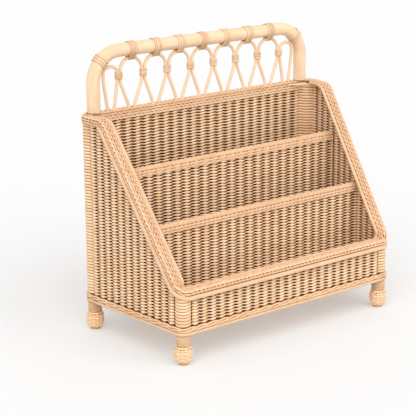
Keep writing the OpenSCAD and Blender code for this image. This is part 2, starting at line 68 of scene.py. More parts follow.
class Wire:
    """An output socket of a node tree, with arithmetic that adds Math nodes."""

    def __init__(self, net: "Net", socket: bpy.types.NodeSocket) -> None:
        """Keeps the tree and the socket."""
        self.net = net
        self.socket = socket

    def _math(self, operation: str, first: "Wire | float", second: "Wire | float") -> "Wire":
        """Adds one Math node and returns its value."""
        return self.net.wire("ShaderNodeMath", {"operation": operation}, {0: first, 1: second})

    def __add__(self, other: "Wire | float") -> "Wire":
        """self + other."""
        return self._math("ADD", self, other)

    def __radd__(self, other: float) -> "Wire":
        """other + self."""
        return self._math("ADD", other, self)

    def __sub__(self, other: "Wire | float") -> "Wire":
        """self - other."""
        return self._math("SUBTRACT", self, other)

    def __rsub__(self, other: float) -> "Wire":
        """other - self."""
        return self._math("SUBTRACT", other, self)

    def __mul__(self, other: "Wire | float") -> "Wire":
        """self * other."""
        return self._math("MULTIPLY", self, other)

    def __rmul__(self, other: float) -> "Wire":
        """other * self."""
        return self._math("MULTIPLY", other, self)

    def __truediv__(self, other: "Wire | float") -> "Wire":
        """self / other."""
        return self._math("DIVIDE", self, other)

    def __gt__(self, other: "Wire | float") -> "Wire":
        """1 where self is above other, else 0."""
        return self._math("GREATER_THAN", self, other)

    def sine(self) -> "Wire":
        """Sine of an angle in radians."""
        return self._math("SINE", self, 0.0)

    def cosine(self) -> "Wire":
        """Cosine of an angle in radians."""
        return self._math("COSINE", self, 0.0)

    def ranged(self, low: float, high: float, out_low: float = 0.0, out_high: float = 1.0) -> "Wire":
        """Maps the value smoothly from one range to another, held at its ends.

        Args:
            low: value that gives out_low.
            high: value that gives out_high.
            out_low: result at and below low.
            out_high: result at and above high.

        Returns:
            The mapped value.
        """
        return self.net.wire(
            "ShaderNodeMapRange",
            {"interpolation_type": "SMOOTHSTEP"},
            {0: self, 1: low, 2: high, 3: out_low, 4: out_high},
        )

    def scaled(self, factor: "Wire | float") -> "Wire":
        """The vector times a number."""
        return self.net.wire("ShaderNodeVectorMath", {"operation": "SCALE"}, {0: self, 3: factor})

    def plus(self, other: "Wire | tuple[float, float, float]") -> "Wire":
        """The vector plus another vector."""
        return self.net.wire("ShaderNodeVectorMath", {"operation": "ADD"}, {0: self, 1: other})


class Net:
    """Adds nodes to a shader tree or a geometry tree."""

    def __init__(self, tree: bpy.types.NodeTree) -> None:
        """Keeps the tree."""
        self.tree = tree

    def add(self, kind: str, settings: dict | None = None, inputs: dict | None = None) -> bpy.types.Node:
        """Adds a node.

        Args:
            kind: the node's type name.
            settings: properties of the node, set before its sockets.
            inputs: a value or a Wire for each socket, by name or index.

        Returns:
            The new node.
        """
        node = self.tree.nodes.new(kind)
        for name, value in (settings or {}).items():
            setattr(node, name, value)
        for key, value in (inputs or {}).items():
            if isinstance(value, Wire):
                self.tree.links.new(value.socket, node.inputs[key])
            else:
                node.inputs[key].default_value = value
        return node

    def wire(
        self, kind: str, settings: dict | None = None, inputs: dict | None = None, output: int | str = 0
    ) -> Wire:
        """Adds a node and returns one of its outputs.

        Args:
            kind: the node's type name.
            settings: properties of the node.
            inputs: a value or a Wire for each socket.
            output: name or index of the output.

        Returns:
            That output.
        """
        return Wire(self, self.add(kind, settings, inputs).outputs[output])

    def mixed(self, factor: Wire | float, first: Wire | tuple, second: Wire | tuple) -> Wire:
        """Mixes two colours.

        Args:
            factor: share of the second colour.
            first: colour at 0.
            second: colour at 1.

        Returns:
            The mixed colour.
        """
        return self.wire(
            "ShaderNodeMix", {"data_type": "RGBA"}, {0: factor, 6: first, 7: second}, output=2
        )

    def noise(self, vector: Wire, scale: float, detail: float, roughness: float = 0.5) -> Wire:
        """A noise value of about 0.2 to 0.8.

        Args:
            vector: where the noise is read.
            scale: waves per unit.
            detail: octaves.
            roughness: weight of the finer octaves.

        Returns:
            The noise value.
        """
        return self.wire(
            "ShaderNodeTexNoise",
            {},
            {"Vector": vector, "Scale": scale, "Detail": detail, "Roughness": roughness},
        )


# ---- Finishes ----


def bare_material(name: str) -> tuple[bpy.types.Material, bool]:
    """Finds a material by its name, or makes it with an empty tree.

    Args:
        name: the material's name.

    Returns:
        The material, and whether it was there already.
    """
    material = bpy.data.materials.get(name)
    if material:
        return material, True
    material = bpy.data.materials.new(name)
    material.use_nodes = True
    material.node_tree.nodes.clear()
    return material, False


class Grain(Enum):
    """How the fibres of a cane run on its surface."""

    STRAND = "along the strand's own path"
    UPRIGHT = "along Z"
    CROSSWISE = "along X"


@dataclass(frozen=True)
class CaneFinish:
    """Peeled cane: long fibre streaks, soft patches and a satin skin."""

    name: str
    light: tuple[float, float, float]
    shade: tuple[float, float, float]
    dark: tuple[float, float, float]
    grain: Grain = Grain.STRAND
    streak: float = 0.55
    patch: float = 0.5
    spread: float = 0.6
    speckle: float = 0.35
    roughness: float = 0.5
    relief: float = 0.25
    fibre: float = 5.0
    run: float = 60.0

    def _coordinates(self, net: Net) -> tuple[Wire, Wire | float, Wire]:
        """Finds where the fibres are read.

        Args:
            net: the material's tree.

        Returns:
            Fibre coordinates, the strand's own tint from 0 to 1, and the object coordinates.
        """
        place = net.wire("ShaderNodeTexCoord", output="Object")
        if self.grain is Grain.STRAND:
            ring = net.wire("ShaderNodeAttribute", {"attribute_name": "ring"}, output="Vector")
            along = net.wire("ShaderNodeAttribute", {"attribute_name": "along"}, output="Fac")
            tint = net.wire("ShaderNodeAttribute", {"attribute_name": "tint"}, output="Fac")
            run = net.wire("ShaderNodeCombineXYZ", {}, {"Z": along * self.run + tint * 91.0})
            return ring.scaled(self.fibre * 0.2).plus(run), tint, place
        scale = (700.0, 700.0, 24.0) if self.grain is Grain.UPRIGHT else (24.0, 700.0, 700.0)
        stretched = net.wire("ShaderNodeVectorMath", {"operation": "MULTIPLY"}, {0: place, 1: scale})
        tint = net.noise(place, 60.0, 0.0)
        return stretched, tint, place

    def material(self) -> bpy.types.Material:
        """Builds the material, or returns the one that is already built."""
        material, built = bare_material(self.name)
        if built:
            return material
        material.diffuse_color = (*self.light, 1.0)
        net = Net(material.node_tree)
        fibres, tint, place = self._coordinates(net)
        streaks = net.noise(fibres, 1.0, 4.0, 0.6)
        patches = net.noise(place, 38.0, 2.0)
        tone = 0.42 + (streaks - 0.5) * self.streak * 1.6 + (patches - 0.5) * self.patch * 1.6
        tone = (tone + (tint - 0.5) * self.spread).ranged(0.0, 1.0)
        colour = net.mixed(tone, (*self.light, 1.0), (*self.shade, 1.0))
        marks = net.noise(fibres, 2.3, 2.0, 0.5).ranged(0.6, 0.8) * self.speckle
        colour = net.mixed(marks, colour, (*self.dark, 1.0))
        bump = net.wire(
            "ShaderNodeBump", {}, {"Strength": self.relief, "Distance": 0.0004, "Height": streaks}
        )
        skin = net.add(
            "ShaderNodeBsdfPrincipled",
            {},
            {
                "Base Color": colour,
                "Roughness": self.roughness + (streaks - 0.5) * 0.25,
                "Normal": bump,
                "Specular IOR Level": 0.4,
            },
        )
        net.add("ShaderNodeOutputMaterial", {}, {"Surface": Wire(net, skin.outputs[0])})
        return material


@dataclass(frozen=True)
class SteelFinish:
    """Plain steel with fine drawn scratches."""

    name: str = "pin_steel"
    colour: tuple[float, float, float] = (0.55, 0.56, 0.58)
    roughness: float = 0.35

    def material(self) -> bpy.types.Material:
        """Builds the material, or returns the one that is already built."""
        material, built = bare_material(self.name)
        if built:
            return material
        net = Net(material.node_tree)
        place = net.wire("ShaderNodeTexCoord", output="Object")
        fine = net.wire(
            "ShaderNodeVectorMath", {"operation": "MULTIPLY"}, {0: place, 1: (900.0, 900.0, 90.0)}
        )
        scratches = net.noise(fine, 1.0, 3.0)
        colour = net.mixed(scratches, (*self.colour, 1.0), (0.4, 0.41, 0.43, 1.0))
        skin = net.add(
            "ShaderNodeBsdfPrincipled",
            {},
            {"Base Color": colour, "Roughness": self.roughness + scratches * 0.2, "Metallic": 1.0},
        )
        net.add("ShaderNodeOutputMaterial", {}, {"Surface": Wire(net, skin.outputs[0])})
        return material


WEAVER = CaneFinish("weaver_cane", (0.95, 0.69, 0.45), (0.86, 0.54, 0.30), (0.36, 0.16, 0.05))
PLAIT = CaneFinish(
    "plait_strands", (0.90, 0.64, 0.42), (0.76, 0.46, 0.26), (0.34, 0.15, 0.05), spread=0.55
)
# Near-black core laid behind and under the ropes: painted shade that shows in the gaps between their
# strands.
SHADE_CORE = CaneFinish(
    "shade_core_cane", (0.26, 0.11, 0.035), (0.18, 0.07, 0.02), (0.1, 0.035, 0.01), roughness=0.85
)
POLE = CaneFinish(
    "pole_cane",
    (0.93, 0.71, 0.49),
    (0.80, 0.54, 0.33),
    (0.50, 0.28, 0.13),
    streak=0.7,
    patch=0.35,
    spread=0.3,
    speckle=0.25,
    roughness=0.42,
    relief=0.12,
    fibre=9.0,
    run=22.0,
)
POST = CaneFinish(
    "post_cane", (0.80, 0.58, 0.36), (0.66, 0.43, 0.23), (0.40, 0.22, 0.1), grain=Grain.UPRIGHT
)
STAKE = CaneFinish(
    "stake_cane", (0.93, 0.70, 0.48), (0.80, 0.52, 0.31), (0.42, 0.23, 0.1), grain=Grain.UPRIGHT
)
LASHING = CaneFinish("lashing_cane", (0.84, 0.60, 0.39), (0.66, 0.40, 0.21), (0.34, 0.17, 0.07))
# Near-black sheets set inside the walls and dividers: painted shade that stands for the dark depth seen
# through the weave.
SHADE_SHEET = CaneFinish(
    "shade_sheet_cane",
    (0.12, 0.035, 0.008),
    (0.07, 0.02, 0.005),
    (0.03, 0.008, 0.002),
    grain=Grain.UPRIGHT,
    roughness=0.9,
)
BEARER = CaneFinish(
    "bearer_cane", (0.80, 0.58, 0.36), (0.66, 0.43, 0.23), (0.40, 0.22, 0.1), grain=Grain.CROSSWISE
)
SOLE = CaneFinish(
    "sole_cane",
    (0.62, 0.40, 0.22),
    (0.48, 0.28, 0.14),
    (0.28, 0.15, 0.07),
    grain=Grain.UPRIGHT,
    roughness=0.55,
)
EDGE = CaneFinish("edge_cane", (0.85, 0.60, 0.39), (0.70, 0.44, 0.25), (0.42, 0.22, 0.09), spread=0.4)
SLAT = CaneFinish("slat_cane", (0.84, 0.62, 0.39), (0.68, 0.45, 0.24), (0.42, 0.23, 0.1))
STEEL = SteelFinish()


# ---- Paths ----


def linked(name: str, data: bpy.types.ID) -> bpy.types.Object:
    """Puts a mesh, lamp or camera into the scene as an object."""
    item = bpy.data.objects.new(name, data)
    bpy.context.scene.collection.objects.link(item)
    return item


def normalized(vectors: np.ndarray) -> np.ndarray:
    """Unit vectors of the rows."""
    return vectors / np.linalg.norm(vectors, axis=-1, keepdims=True)


@dataclass
class Line:
    """Path of one strand in millimetres, with the direction beside it and the direction above it."""

    points: np.ndarray
    side: np.ndarray
    lift: np.ndarray
    distance: np.ndarray
    closed: bool = False
    phase: float = 0.0
    top: np.ndarray | None = None
    girth: np.ndarray | None = None


@dataclass
class Track:
    """A run that several strands follow: its points, with a direction that is up from it."""

    points: np.ndarray
    up: np.ndarray
    closed: bool = False

    def __post_init__(self) -> None:
        """Works out tangents, the outward side and the distance along the run."""
        if self.closed:
            ahead, behind = np.roll(self.points, -1, 0), np.roll(self.points, 1, 0)
            self.tangent = normalized(ahead - behind)
        else:
            self.tangent = normalized(np.gradient(self.points, axis=0))
        lean = np.sum(self.up * self.tangent, axis=1, keepdims=True)
        self.up = normalized(self.up - self.tangent * lean)
        self.side = np.cross(self.tangent, self.up)
        steps = np.linalg.norm(np.diff(self.points, axis=0), axis=1)
        self.distance = np.concatenate([[0.0], np.cumsum(steps)])

    def at(self, out: float, high: float, phase: float = 0.0) -> Line:
        """A strand beside the run.

        Args:
            out: distance outward from the run.
            high: distance above the run.
            phase: turn of the strand's twist at its start, in radians.

        Returns:
            The strand's path.
        """
        points = self.points + self.side * out + self.up * high
        return Line(points, self.side, self.up, self.distance, self.closed, phase)

    def part(self, start: float, end: float) -> "Track":
        """The stretch between two distances along the run.

        Args:
            start: distance at which it begins.
            end: distance at which it ends.

        Returns:
            That stretch as a run.
        """
        keep = (self.distance >= start) & (self.distance <= end)
        return Track(self.points[keep], self.up[keep])

    def spaced(self, step: float) -> "Track":
        """The same run with its points evenly spaced.

        Args:
            step: distance between points.

        Returns:
            The evenly spaced run.
        """
        count = max(2, round(self.distance[-1] / step) + 1)
        at = np.linspace(0.0, self.distance[-1], count)
        points = np.stack([np.interp(at, self.distance, self.points[:, k]) for k in range(3)], 1)
        up = np.stack([np.interp(at, self.distance, self.up[:, k]) for k in range(3)], 1)
        return Track(points, up)


def bent_run(
    corners: Sequence[np.ndarray], radii: Sequence[float], ups: Sequence[np.ndarray]
) -> Track:
    """A run of straight stretches joined by round bends.

    Args:
        corners: start, each corner and end.
        radii: bend radius of each corner between the start and the end.
        ups: direction that is up along each stretch.

    Returns:
        The run.
    """
    points, lifts = [corners[0]], [ups[0]]
    for k, radius in enumerate(radii):
        corner = corners[k + 1]
        before = normalized(corner - corners[k])
        after = normalized(corners[k + 2] - corner)
        turn = math.acos(float(np.clip(before @ after, -1, 1)))
        start = corner - before * radius * math.tan(turn / 2)
        across = normalized(after - before * (before @ after))
        count = max(6, int(turn * radius / 1.5))
        for i in range(count + 1):
            angle = turn * i / count
            points.append(start + radius * (math.sin(angle) * before + (1 - math.cos(angle)) * across))
            lifts.append(ups[k] * (1 - i / count) + ups[k + 1] * i / count)
    points.append(corners[-1])
    lifts.append(ups[-1])
    return Track(np.array(points), np.array(lifts))


def straight_run(
    start: Sequence[float], end: Sequence[float], step: float, up: np.ndarray = UP
) -> Track:
    """A straight run.

    Args:
        start: where it begins.
        end: where it ends.
        step: distance between points.
        up: direction that is up from it.

    Returns:
        The run.
    """
    ends = np.array([start, end], float)
    return Track(ends, np.array([up, up], float)).spaced(step)


# ---- Strand trees ----


@dataclass
class StrandTree:
    """A geometry tree that turns paths into canes, and the object maker that uses it."""

    title: str
    sizes: dict[str, float | int] = field(default_factory=dict)

    def __post_init__(self) -> None:
        """Builds the tree with one named input for each size."""
        self.group = bpy.data.node_groups.new(self.title, "GeometryNodeTree")
        face = self.group.interface
        face.new_socket(name="Paths", in_out="INPUT", socket_type="NodeSocketGeometry")
        for name, value in self.sizes.items():
            kind = "NodeSocketInt" if isinstance(value, int) else "NodeSocketFloat"
            face.new_socket(name=name, in_out="INPUT", socket_type=kind).default_value = value
        face.new_socket(name="Finish", in_out="INPUT", socket_type="NodeSocketMaterial")
        face.new_socket(name="Canes", in_out="OUTPUT", socket_type="NodeSocketGeometry")
        self.net = Net(self.group)
        self.given = self.group.nodes.new("NodeGroupInput")
        canes = self.shaped(self.net.wire("GeometryNodeMeshToCurve", {}, {0: self.size("Paths")}))
        solid = self.clothed(canes)
        self.net.add("NodeGroupOutput", {}, {0: solid})

    def size(self, name: str) -> Wire:
        """The named input."""
        return Wire(self.net, self.given.outputs[name])

    def stored(self, name: str, kind: str = "FLOAT") -> Wire:
        """The named attribute of the paths."""
        return self.net.wire("GeometryNodeInputNamedAttribute", {"data_type": kind}, {"Name": name})

    def shaped(self, curves: Wire) -> Wire:
        """Moves or multiplies the curves. The plain tree leaves them as they are."""
        return curves

    def clothed(self, curves: Wire) -> Wire:
        """Gives the curves their section, their surface attributes and their finish.

        Args:
            curves: centre lines of the canes.

        Returns:
            The canes as one mesh.
        """
        net = self.net
        along = net.wire("GeometryNodeSplineParameter", output="Length")
        number = net.wire("GeometryNodeCurveOfPoint", output="Curve Index")
        tint = net.wire(
            "ShaderNodeTexWhiteNoise", {"noise_dimensions": "1D"}, {"W": number * 7.13 + 0.37}
        )
        curves = self.marked(curves, "along", along)
        curves = self.marked(curves, "tint", tint)
        beside = self.stored("side", "FLOAT_VECTOR")
        curves = net.wire(
            "GeometryNodeSetCurveNormal", {"mode": "FREE"}, {"Curve": curves, "Normal": beside}
        )
        girth = self.stored("girth")
        ring = net.wire(
            "GeometryNodeCurvePrimitiveCircle",
            {"mode": "RADIUS"},
            {"Resolution": self.size("Sides"), "Radius": 1.0},
        )
        ring = self.marked(ring, "ring", net.wire("GeometryNodeInputPosition"), "FLOAT_VECTOR")
        scale = net.wire(
            "ShaderNodeCombineXYZ",
            {},
            {"X": self.size("Width") * 0.5, "Y": self.size("Thickness") * 0.5, "Z": 1.0},
        )
        ring = net.wire("GeometryNodeTransform", {}, {"Geometry": ring, "Scale": scale})
        mesh = net.wire(
            "GeometryNodeCurveToMesh",
            {},
            {"Curve": curves, "Profile Curve": ring, "Scale": girth, "Fill Caps": True},
        )
        mesh = net.wire("GeometryNodeSetShadeSmooth", {}, {"Geometry": mesh, "Shade Smooth": True})
        mesh = net.wire("GeometryNodeRealizeInstances", {}, {"Geometry": mesh})
        return net.wire(
            "GeometryNodeSetMaterial", {}, {"Geometry": mesh, "Material": self.size("Finish")}
        )

    def copied(self, curves: Wire, amount: str) -> tuple[Wire, Wire]:
        """Repeats each curve.

        Args:
            curves: the curves.
            amount: name of the input that says how many there are of each.

        Returns:
            The copies, and each copy's number from 0.
        """
        copies = self.net.add(
            "GeometryNodeDuplicateElements", {"domain": "SPLINE"}, {0: curves, "Amount": self.size(amount)}
        )
        return Wire(self.net, copies.outputs[0]), Wire(self.net, copies.outputs["Duplicate Index"])

    def moved(self, curves: Wire, offset: Wire) -> Wire:
        """Moves each point by its offset."""
        return self.net.wire("GeometryNodeSetPosition", {}, {0: curves, "Offset": offset})

    def marked(self, geometry: Wire, name: str, value: Wire, kind: str = "FLOAT") -> Wire:
        """Stores an attribute on every point.

        Args:
            geometry: what the attribute is stored on.
            name: its name.
            value: its value.
            kind: its data type.

        Returns:
            The geometry with the attribute.
        """
        return self.net.wire(
            "GeometryNodeStoreNamedAttribute",
            {"data_type": kind, "domain": "POINT"},
            {"Geometry": geometry, "Name": name, "Value": value},
        )

    def lay(
        self,
        name: str,
        lines: Sequence[Line],
        finish: CaneFinish,
        slot: str,
        nodes: Sequence[str] = (),
        **sizes: float,
    ) -> None:
        """Makes a piece from paths, a plain mesh at the origin, and fixes it to the rack.

        Args:
            name: the piece's name.
            lines: paths of its canes.
            finish: its finish.
            slot: passed on to settled, which does not use it.
            nodes: CAD nodes that it stands for.
            **sizes: inputs of the tree, lengths in millimetres, with underscores for spaces.
        """
        source = linked(name + "_paths", path_mesh(name + "_paths", lines))
        modifier = source.modifiers.new("canes", "NODES")
        modifier.node_group = self.group
        asked = {}
        for key, value in sizes.items():
            asked[key.replace("_", " ")] = value * MM if key in LENGTHS else value
        for item in self.group.interface.items_tree:
            if item.in_out == "INPUT" and item.name in asked:
                modifier[item.identifier] = asked.pop(item.name)
            elif item.in_out == "INPUT" and item.name == "Finish":
                modifier[item.identifier] = finish.material()
        if asked:
            raise ValueError(f"{self.title} has no input named {sorted(asked)}")
        graph = bpy.context.evaluated_depsgraph_get()
        mesh = bpy.data.meshes.new_from_object(source.evaluated_get(graph), depsgraph=graph)
        mesh.name = name
        source.modifiers.remove(modifier)
        bpy.data.objects.remove(source)
        settled(linked(name, mesh), slot, *nodes)


class CaneTree(StrandTree):
    """Canes that follow their paths, repeated beside each other where asked."""

    def __init__(self) -> None:
        """Builds the tree."""
        sizes = {"Width": 2 * MM, "Thickness": 2 * MM, "Sides": 8, "Turns": 1, "Turn Step": 0.0}
        super().__init__("canes_on_paths", sizes)

    def shaped(self, curves: Wire) -> Wire:
        """Repeats each path beside itself along its lift direction."""
        copies, number = self.copied(curves, "Turns")
        shift = (number - (self.size("Turns") - 1.0) * 0.5) * self.size("Turn Step")
        return self.moved(copies, self.stored("lift", "FLOAT_VECTOR").scaled(shift))


class RopeTree(StrandTree):
    """Ropes laid from several strands that twist round each path."""

    def __init__(self) -> None:
        """Builds the tree."""
        sizes = {
            "Width": 2 * MM,
            "Thickness": 2 * MM,
            "Sides": 7,
            "Strands": 3,
            "Pitch": 25 * MM,
            "Reach": 1.5 * MM,
            "Rise": 1.5 * MM,
        }
        super().__init__("twisted_ropes", sizes)

    def shaped(self, curves: Wire) -> Wire:
        """Winds the strands of each rope round its path."""
        copies, number = self.copied(curves, "Strands")
        turns = self.stored("distance") / self.size("Pitch") + number / self.size("Strands")
        angle = turns * (2 * math.pi) + self.stored("phase")
        beside = self.stored("side", "FLOAT_VECTOR").scaled(angle.cosine() * self.size("Reach"))
        above = self.stored("lift", "FLOAT_VECTOR").scaled(angle.sine() * self.size("Rise"))
        return self.moved(copies, beside.plus(above))


class WeaveTree(StrandTree):
    """Rows of paired weavers, cut where the wall ends above."""

    def __init__(self) -> None:
        """Builds the tree."""
        sizes = {
            "Width": 2.5 * MM,
            "Thickness": 2.5 * MM,
            "Sides": 6,
            "Rows": 20,
            "First Row": 0.065,
            "Row Step": 5.0 * MM,
            "Wander": 0.5 * MM,
            "Seed": 3.0,
        }
        super().__init__("woven_rows", sizes)

    def shaped(self, curves: Wire) -> Wire:
        """Stacks the rows, lets them wander a little and cuts them at the wall's top."""
        net = self.net
        copies, number = self.copied(curves, "Rows")
        height = self.size("First Row") + number * self.size("Row Step")
        stacked = self.moved(copies, net.wire("ShaderNodeCombineXYZ", {}, {"Z": height}))
        place = net.wire("GeometryNodeInputPosition")
        level = net.wire("ShaderNodeSeparateXYZ", {}, {0: place}, output="Z")
        cut = net.wire(
            "GeometryNodeDeleteGeometry",
            {"domain": "POINT"},
            {0: stacked, "Selection": level > self.stored("top")},
        )
        shifted = place.plus(net.wire("ShaderNodeCombineXYZ", {}, {"X": self.size("Seed")}))
        drift = net.wire(
            "ShaderNodeTexNoise", {}, {"Vector": shifted, "Scale": 150.0, "Detail": 1.0}, output=1
        ).plus((-0.5, -0.5, -0.5))
        return self.moved(cut, drift.scaled(self.size("Wander")))


def path_mesh(name: str, lines: Sequence[Line]) -> bpy.types.Mesh:
    """A mesh of edges along the paths, with what the trees read stored on its points.

    Args:
        name: the mesh's name.
        lines: the paths.

    Returns:
        The mesh, in metres.
    """
    points = np.concatenate([line.points for line in lines]) * MM
    edges, first = [], 0
    for line in lines:
        count = len(line.points)
        edges.extend((first + i, first + i + 1) for i in range(count - 1))
        if line.closed:
            edges.append((first + count - 1, first))
        first += count
    mesh = bpy.data.meshes.new(name)
    mesh.from_pydata(points.tolist(), edges, [])

    def store(key: str, kind: str, values: np.ndarray) -> None:
        """Stores one attribute on the points."""
        slot = "vector" if kind == "FLOAT_VECTOR" else "value"
        mesh.attributes.new(key, kind, "POINT").data.foreach_set(slot, values.astype(np.float32).ravel())

    store("side", "FLOAT_VECTOR", np.concatenate([line.side for line in lines]))
    store("lift", "FLOAT_VECTOR", np.concatenate([line.lift for line in lines]))
    store("distance", "FLOAT", np.concatenate([line.distance for line in lines]) * MM)
    store("phase", "FLOAT", np.concatenate([np.full(len(line.points), line.phase) for line in lines]))
    girths = [np.ones(len(line.points)) if line.girth is None else line.girth for line in lines]
    store("girth", "FLOAT", np.concatenate(girths))
    tops = [np.full(len(line.points), 1e4) if line.top is None else line.top for line in lines]
    store("top", "FLOAT", np.concatenate(tops) * MM)
    return mesh


@dataclass
class Trees:
    """The three trees that make every cane of the rack."""

    cane: CaneTree = field(default_factory=CaneTree)
    rope: RopeTree = field(default_factory=RopeTree)
    weave: WeaveTree = field(default_factory=WeaveTree)


@dataclass(frozen=True)
class Weaving:
    """How the weavers pass the stakes, in millimetres."""

    swing: float = 3.3
    row_step: float = 5.0
    width: float = 2.3
    height: float = 4.5
    segments: int = 6
    # Half the thickness of the near-black painted-shade sheets inside the walls.
    shade_sheet_half: float = 0.25


# ---- Frame ----


def settled(piece: bpy.types.Object, slot: str, *nodes: str) -> bpy.types.Object:
    """Fixes a finished piece to the rack and reports it.

    Args:
        piece: the piece.
        slot: not used.
        *nodes: CAD nodes that it stands for.

    Returns:
        The piece.
    """
    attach(piece, "root")
    if nodes:
        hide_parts(*nodes)
    piece.data.calc_loop_triangles()
    LOG.info("%s: %d triangles", piece.name, len(piece.data.loop_triangles))
    return piece


@dataclass
class Shape:
    """Where the frame's parts are, in millimetres, read from the CAD nodes."""

    wall_v: float = 7.4
    wall_t: float = 9.2
    level_run: float = 58.0
    bend_r: float = 24.0
    corner_r: float = 15.0
    hoop_bend_r: float = 50.0

    def __post_init__(self) -> None:
        """Reads posts, levels and the hoop."""
        front, rear = self.middle("corner_post_front_left"), self.middle("corner_post_rear_left")
        self.post_y = float(-front[1])
        self.post_xf = float(-front[0])
        self.post_xb = float(-rear[0])
        self.front_h = self.high("rim_front")
        self.back_h = self.high("back_border")
        self.base_low, self.base_top = self.low("base_cane"), self.high("base_cane")
        self.wale_low, self.wale_top = self.low("base_wale"), self.high("base_wale")
        self.floor_low, self.floor_top = self.low("woven_floor"), self.high("woven_floor")
        self.mid_y = self.post_y + self.wall_v
        low, high = (np.array(v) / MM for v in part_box("handle_hoop"))
        self.pole_r = float(high[1] - low[1]) / 2
        self.hoop_y = float(high[1] + low[1]) / 2
        self.hoop_z = float(high[2]) - self.pole_r
        self.hoop_x = float(high[0]) - self.pole_r
        self.angle = math.atan2(self.post_xb - self.post_xf, 2 * self.post_y)
        self.side_len = math.hypot(self.post_xb - self.post_xf, 2 * self.post_y)
        self.corner_x = -self.wall_v * (1 - math.sin(self.angle)) / math.cos(self.angle)
        self.rear_x = self.side_len + self.wall_v * (1 + math.sin(self.angle)) / math.cos(self.angle)
        self.bend_x = self.rear_x - self.level_run
        self.slope = math.atan2(self.back_h - self.front_h, self.bend_x - self.corner_x)

    @staticmethod
    def middle(node: str) -> np.ndarray:
        """Middle of a CAD node's box."""
        low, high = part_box(node)
        return np.array((low + high) / 2) / MM

    @staticmethod
    def low(node: str) -> float:
        """Lowest level of a CAD node."""
        return float(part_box(node)[0].z) / MM

    @staticmethod
    def high(node: str) -> float:
        """Highest level of a CAD node."""
        return float(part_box(node)[1].z) / MM

    def on_side(self, x: float, v: float, z: float, hand: int = -1) -> np.ndarray:
        """A point of a side wall.

        Args:
            x: distance along the wall from its front post.
            v: distance outward from the wall's middle.
            z: height.
            hand: -1 for the left wall, 1 for the right one.

        Returns:
            The point.
        """
        sin, cos = math.sin(self.angle), math.cos(self.angle)
        return np.array(
            [
                hand * (self.post_xf + x * sin + (self.wall_v + v) * cos),
                -self.post_y + x * cos - (self.wall_v + v) * sin,
                z,
            ]
        )

    def side_top(self, x: np.ndarray, w: float) -> np.ndarray:
        """Height of a line that runs w above the side rim's top."""
        rising = self.front_h + (x - self.corner_x) * math.tan(self.slope) + w / math.cos(self.slope)
        return np.minimum(self.back_h + w, rising)

    def half_clear(self, y: float) -> float:
        """Half the clear width between the side walls at a distance y behind the middle."""
        inside = (self.wall_v - self.wall_t / 2) / math.cos(self.angle)
        return self.post_xf + (y + self.post_y) * math.tan(self.angle) + inside

    def posts(self) -> dict[str, np.ndarray]:
        """Post centres by their place."""
        return {
            "front_left": np.array([-self.post_xf, -self.post_y]),
            "front_right": np.array([self.post_xf, -self.post_y]),
            "rear_right": np.array([self.post_xb, self.post_y]),
            "rear_left": np.array([-self.post_xb, self.post_y]),
        }

    def outline(self, v: float, z: float, step: float) -> Track:
        """A closed run round the rack, outward by v from the middle of its walls.

        Args:
            v: distance outward.
            z: height.
            step: distance between points.

        Returns:
            The run.
        """
        radius = self.wall_v + v
        posts = list(self.posts().values())
        bounds = [(180 + math.degrees(self.angle), 270), (270, 360 - math.degrees(self.angle))]
        bounds += [(-math.degrees(self.angle), 90), (90, 180 + math.degrees(self.angle))]
        points = []
        for centre, (start, end) in zip(posts, bounds, strict=True):
            for angle in np.radians(np.linspace(start, end, 12)):
                x, y = centre + radius * np.array([math.cos(angle), math.sin(angle)])
                points.append([x, y, z])
        points.append(points[0])
        ring = np.array(points)
        run = Track(ring, np.tile(UP, (len(ring), 1))).spaced(step)
        return Track(run.points[:-1], run.up[:-1], closed=True)


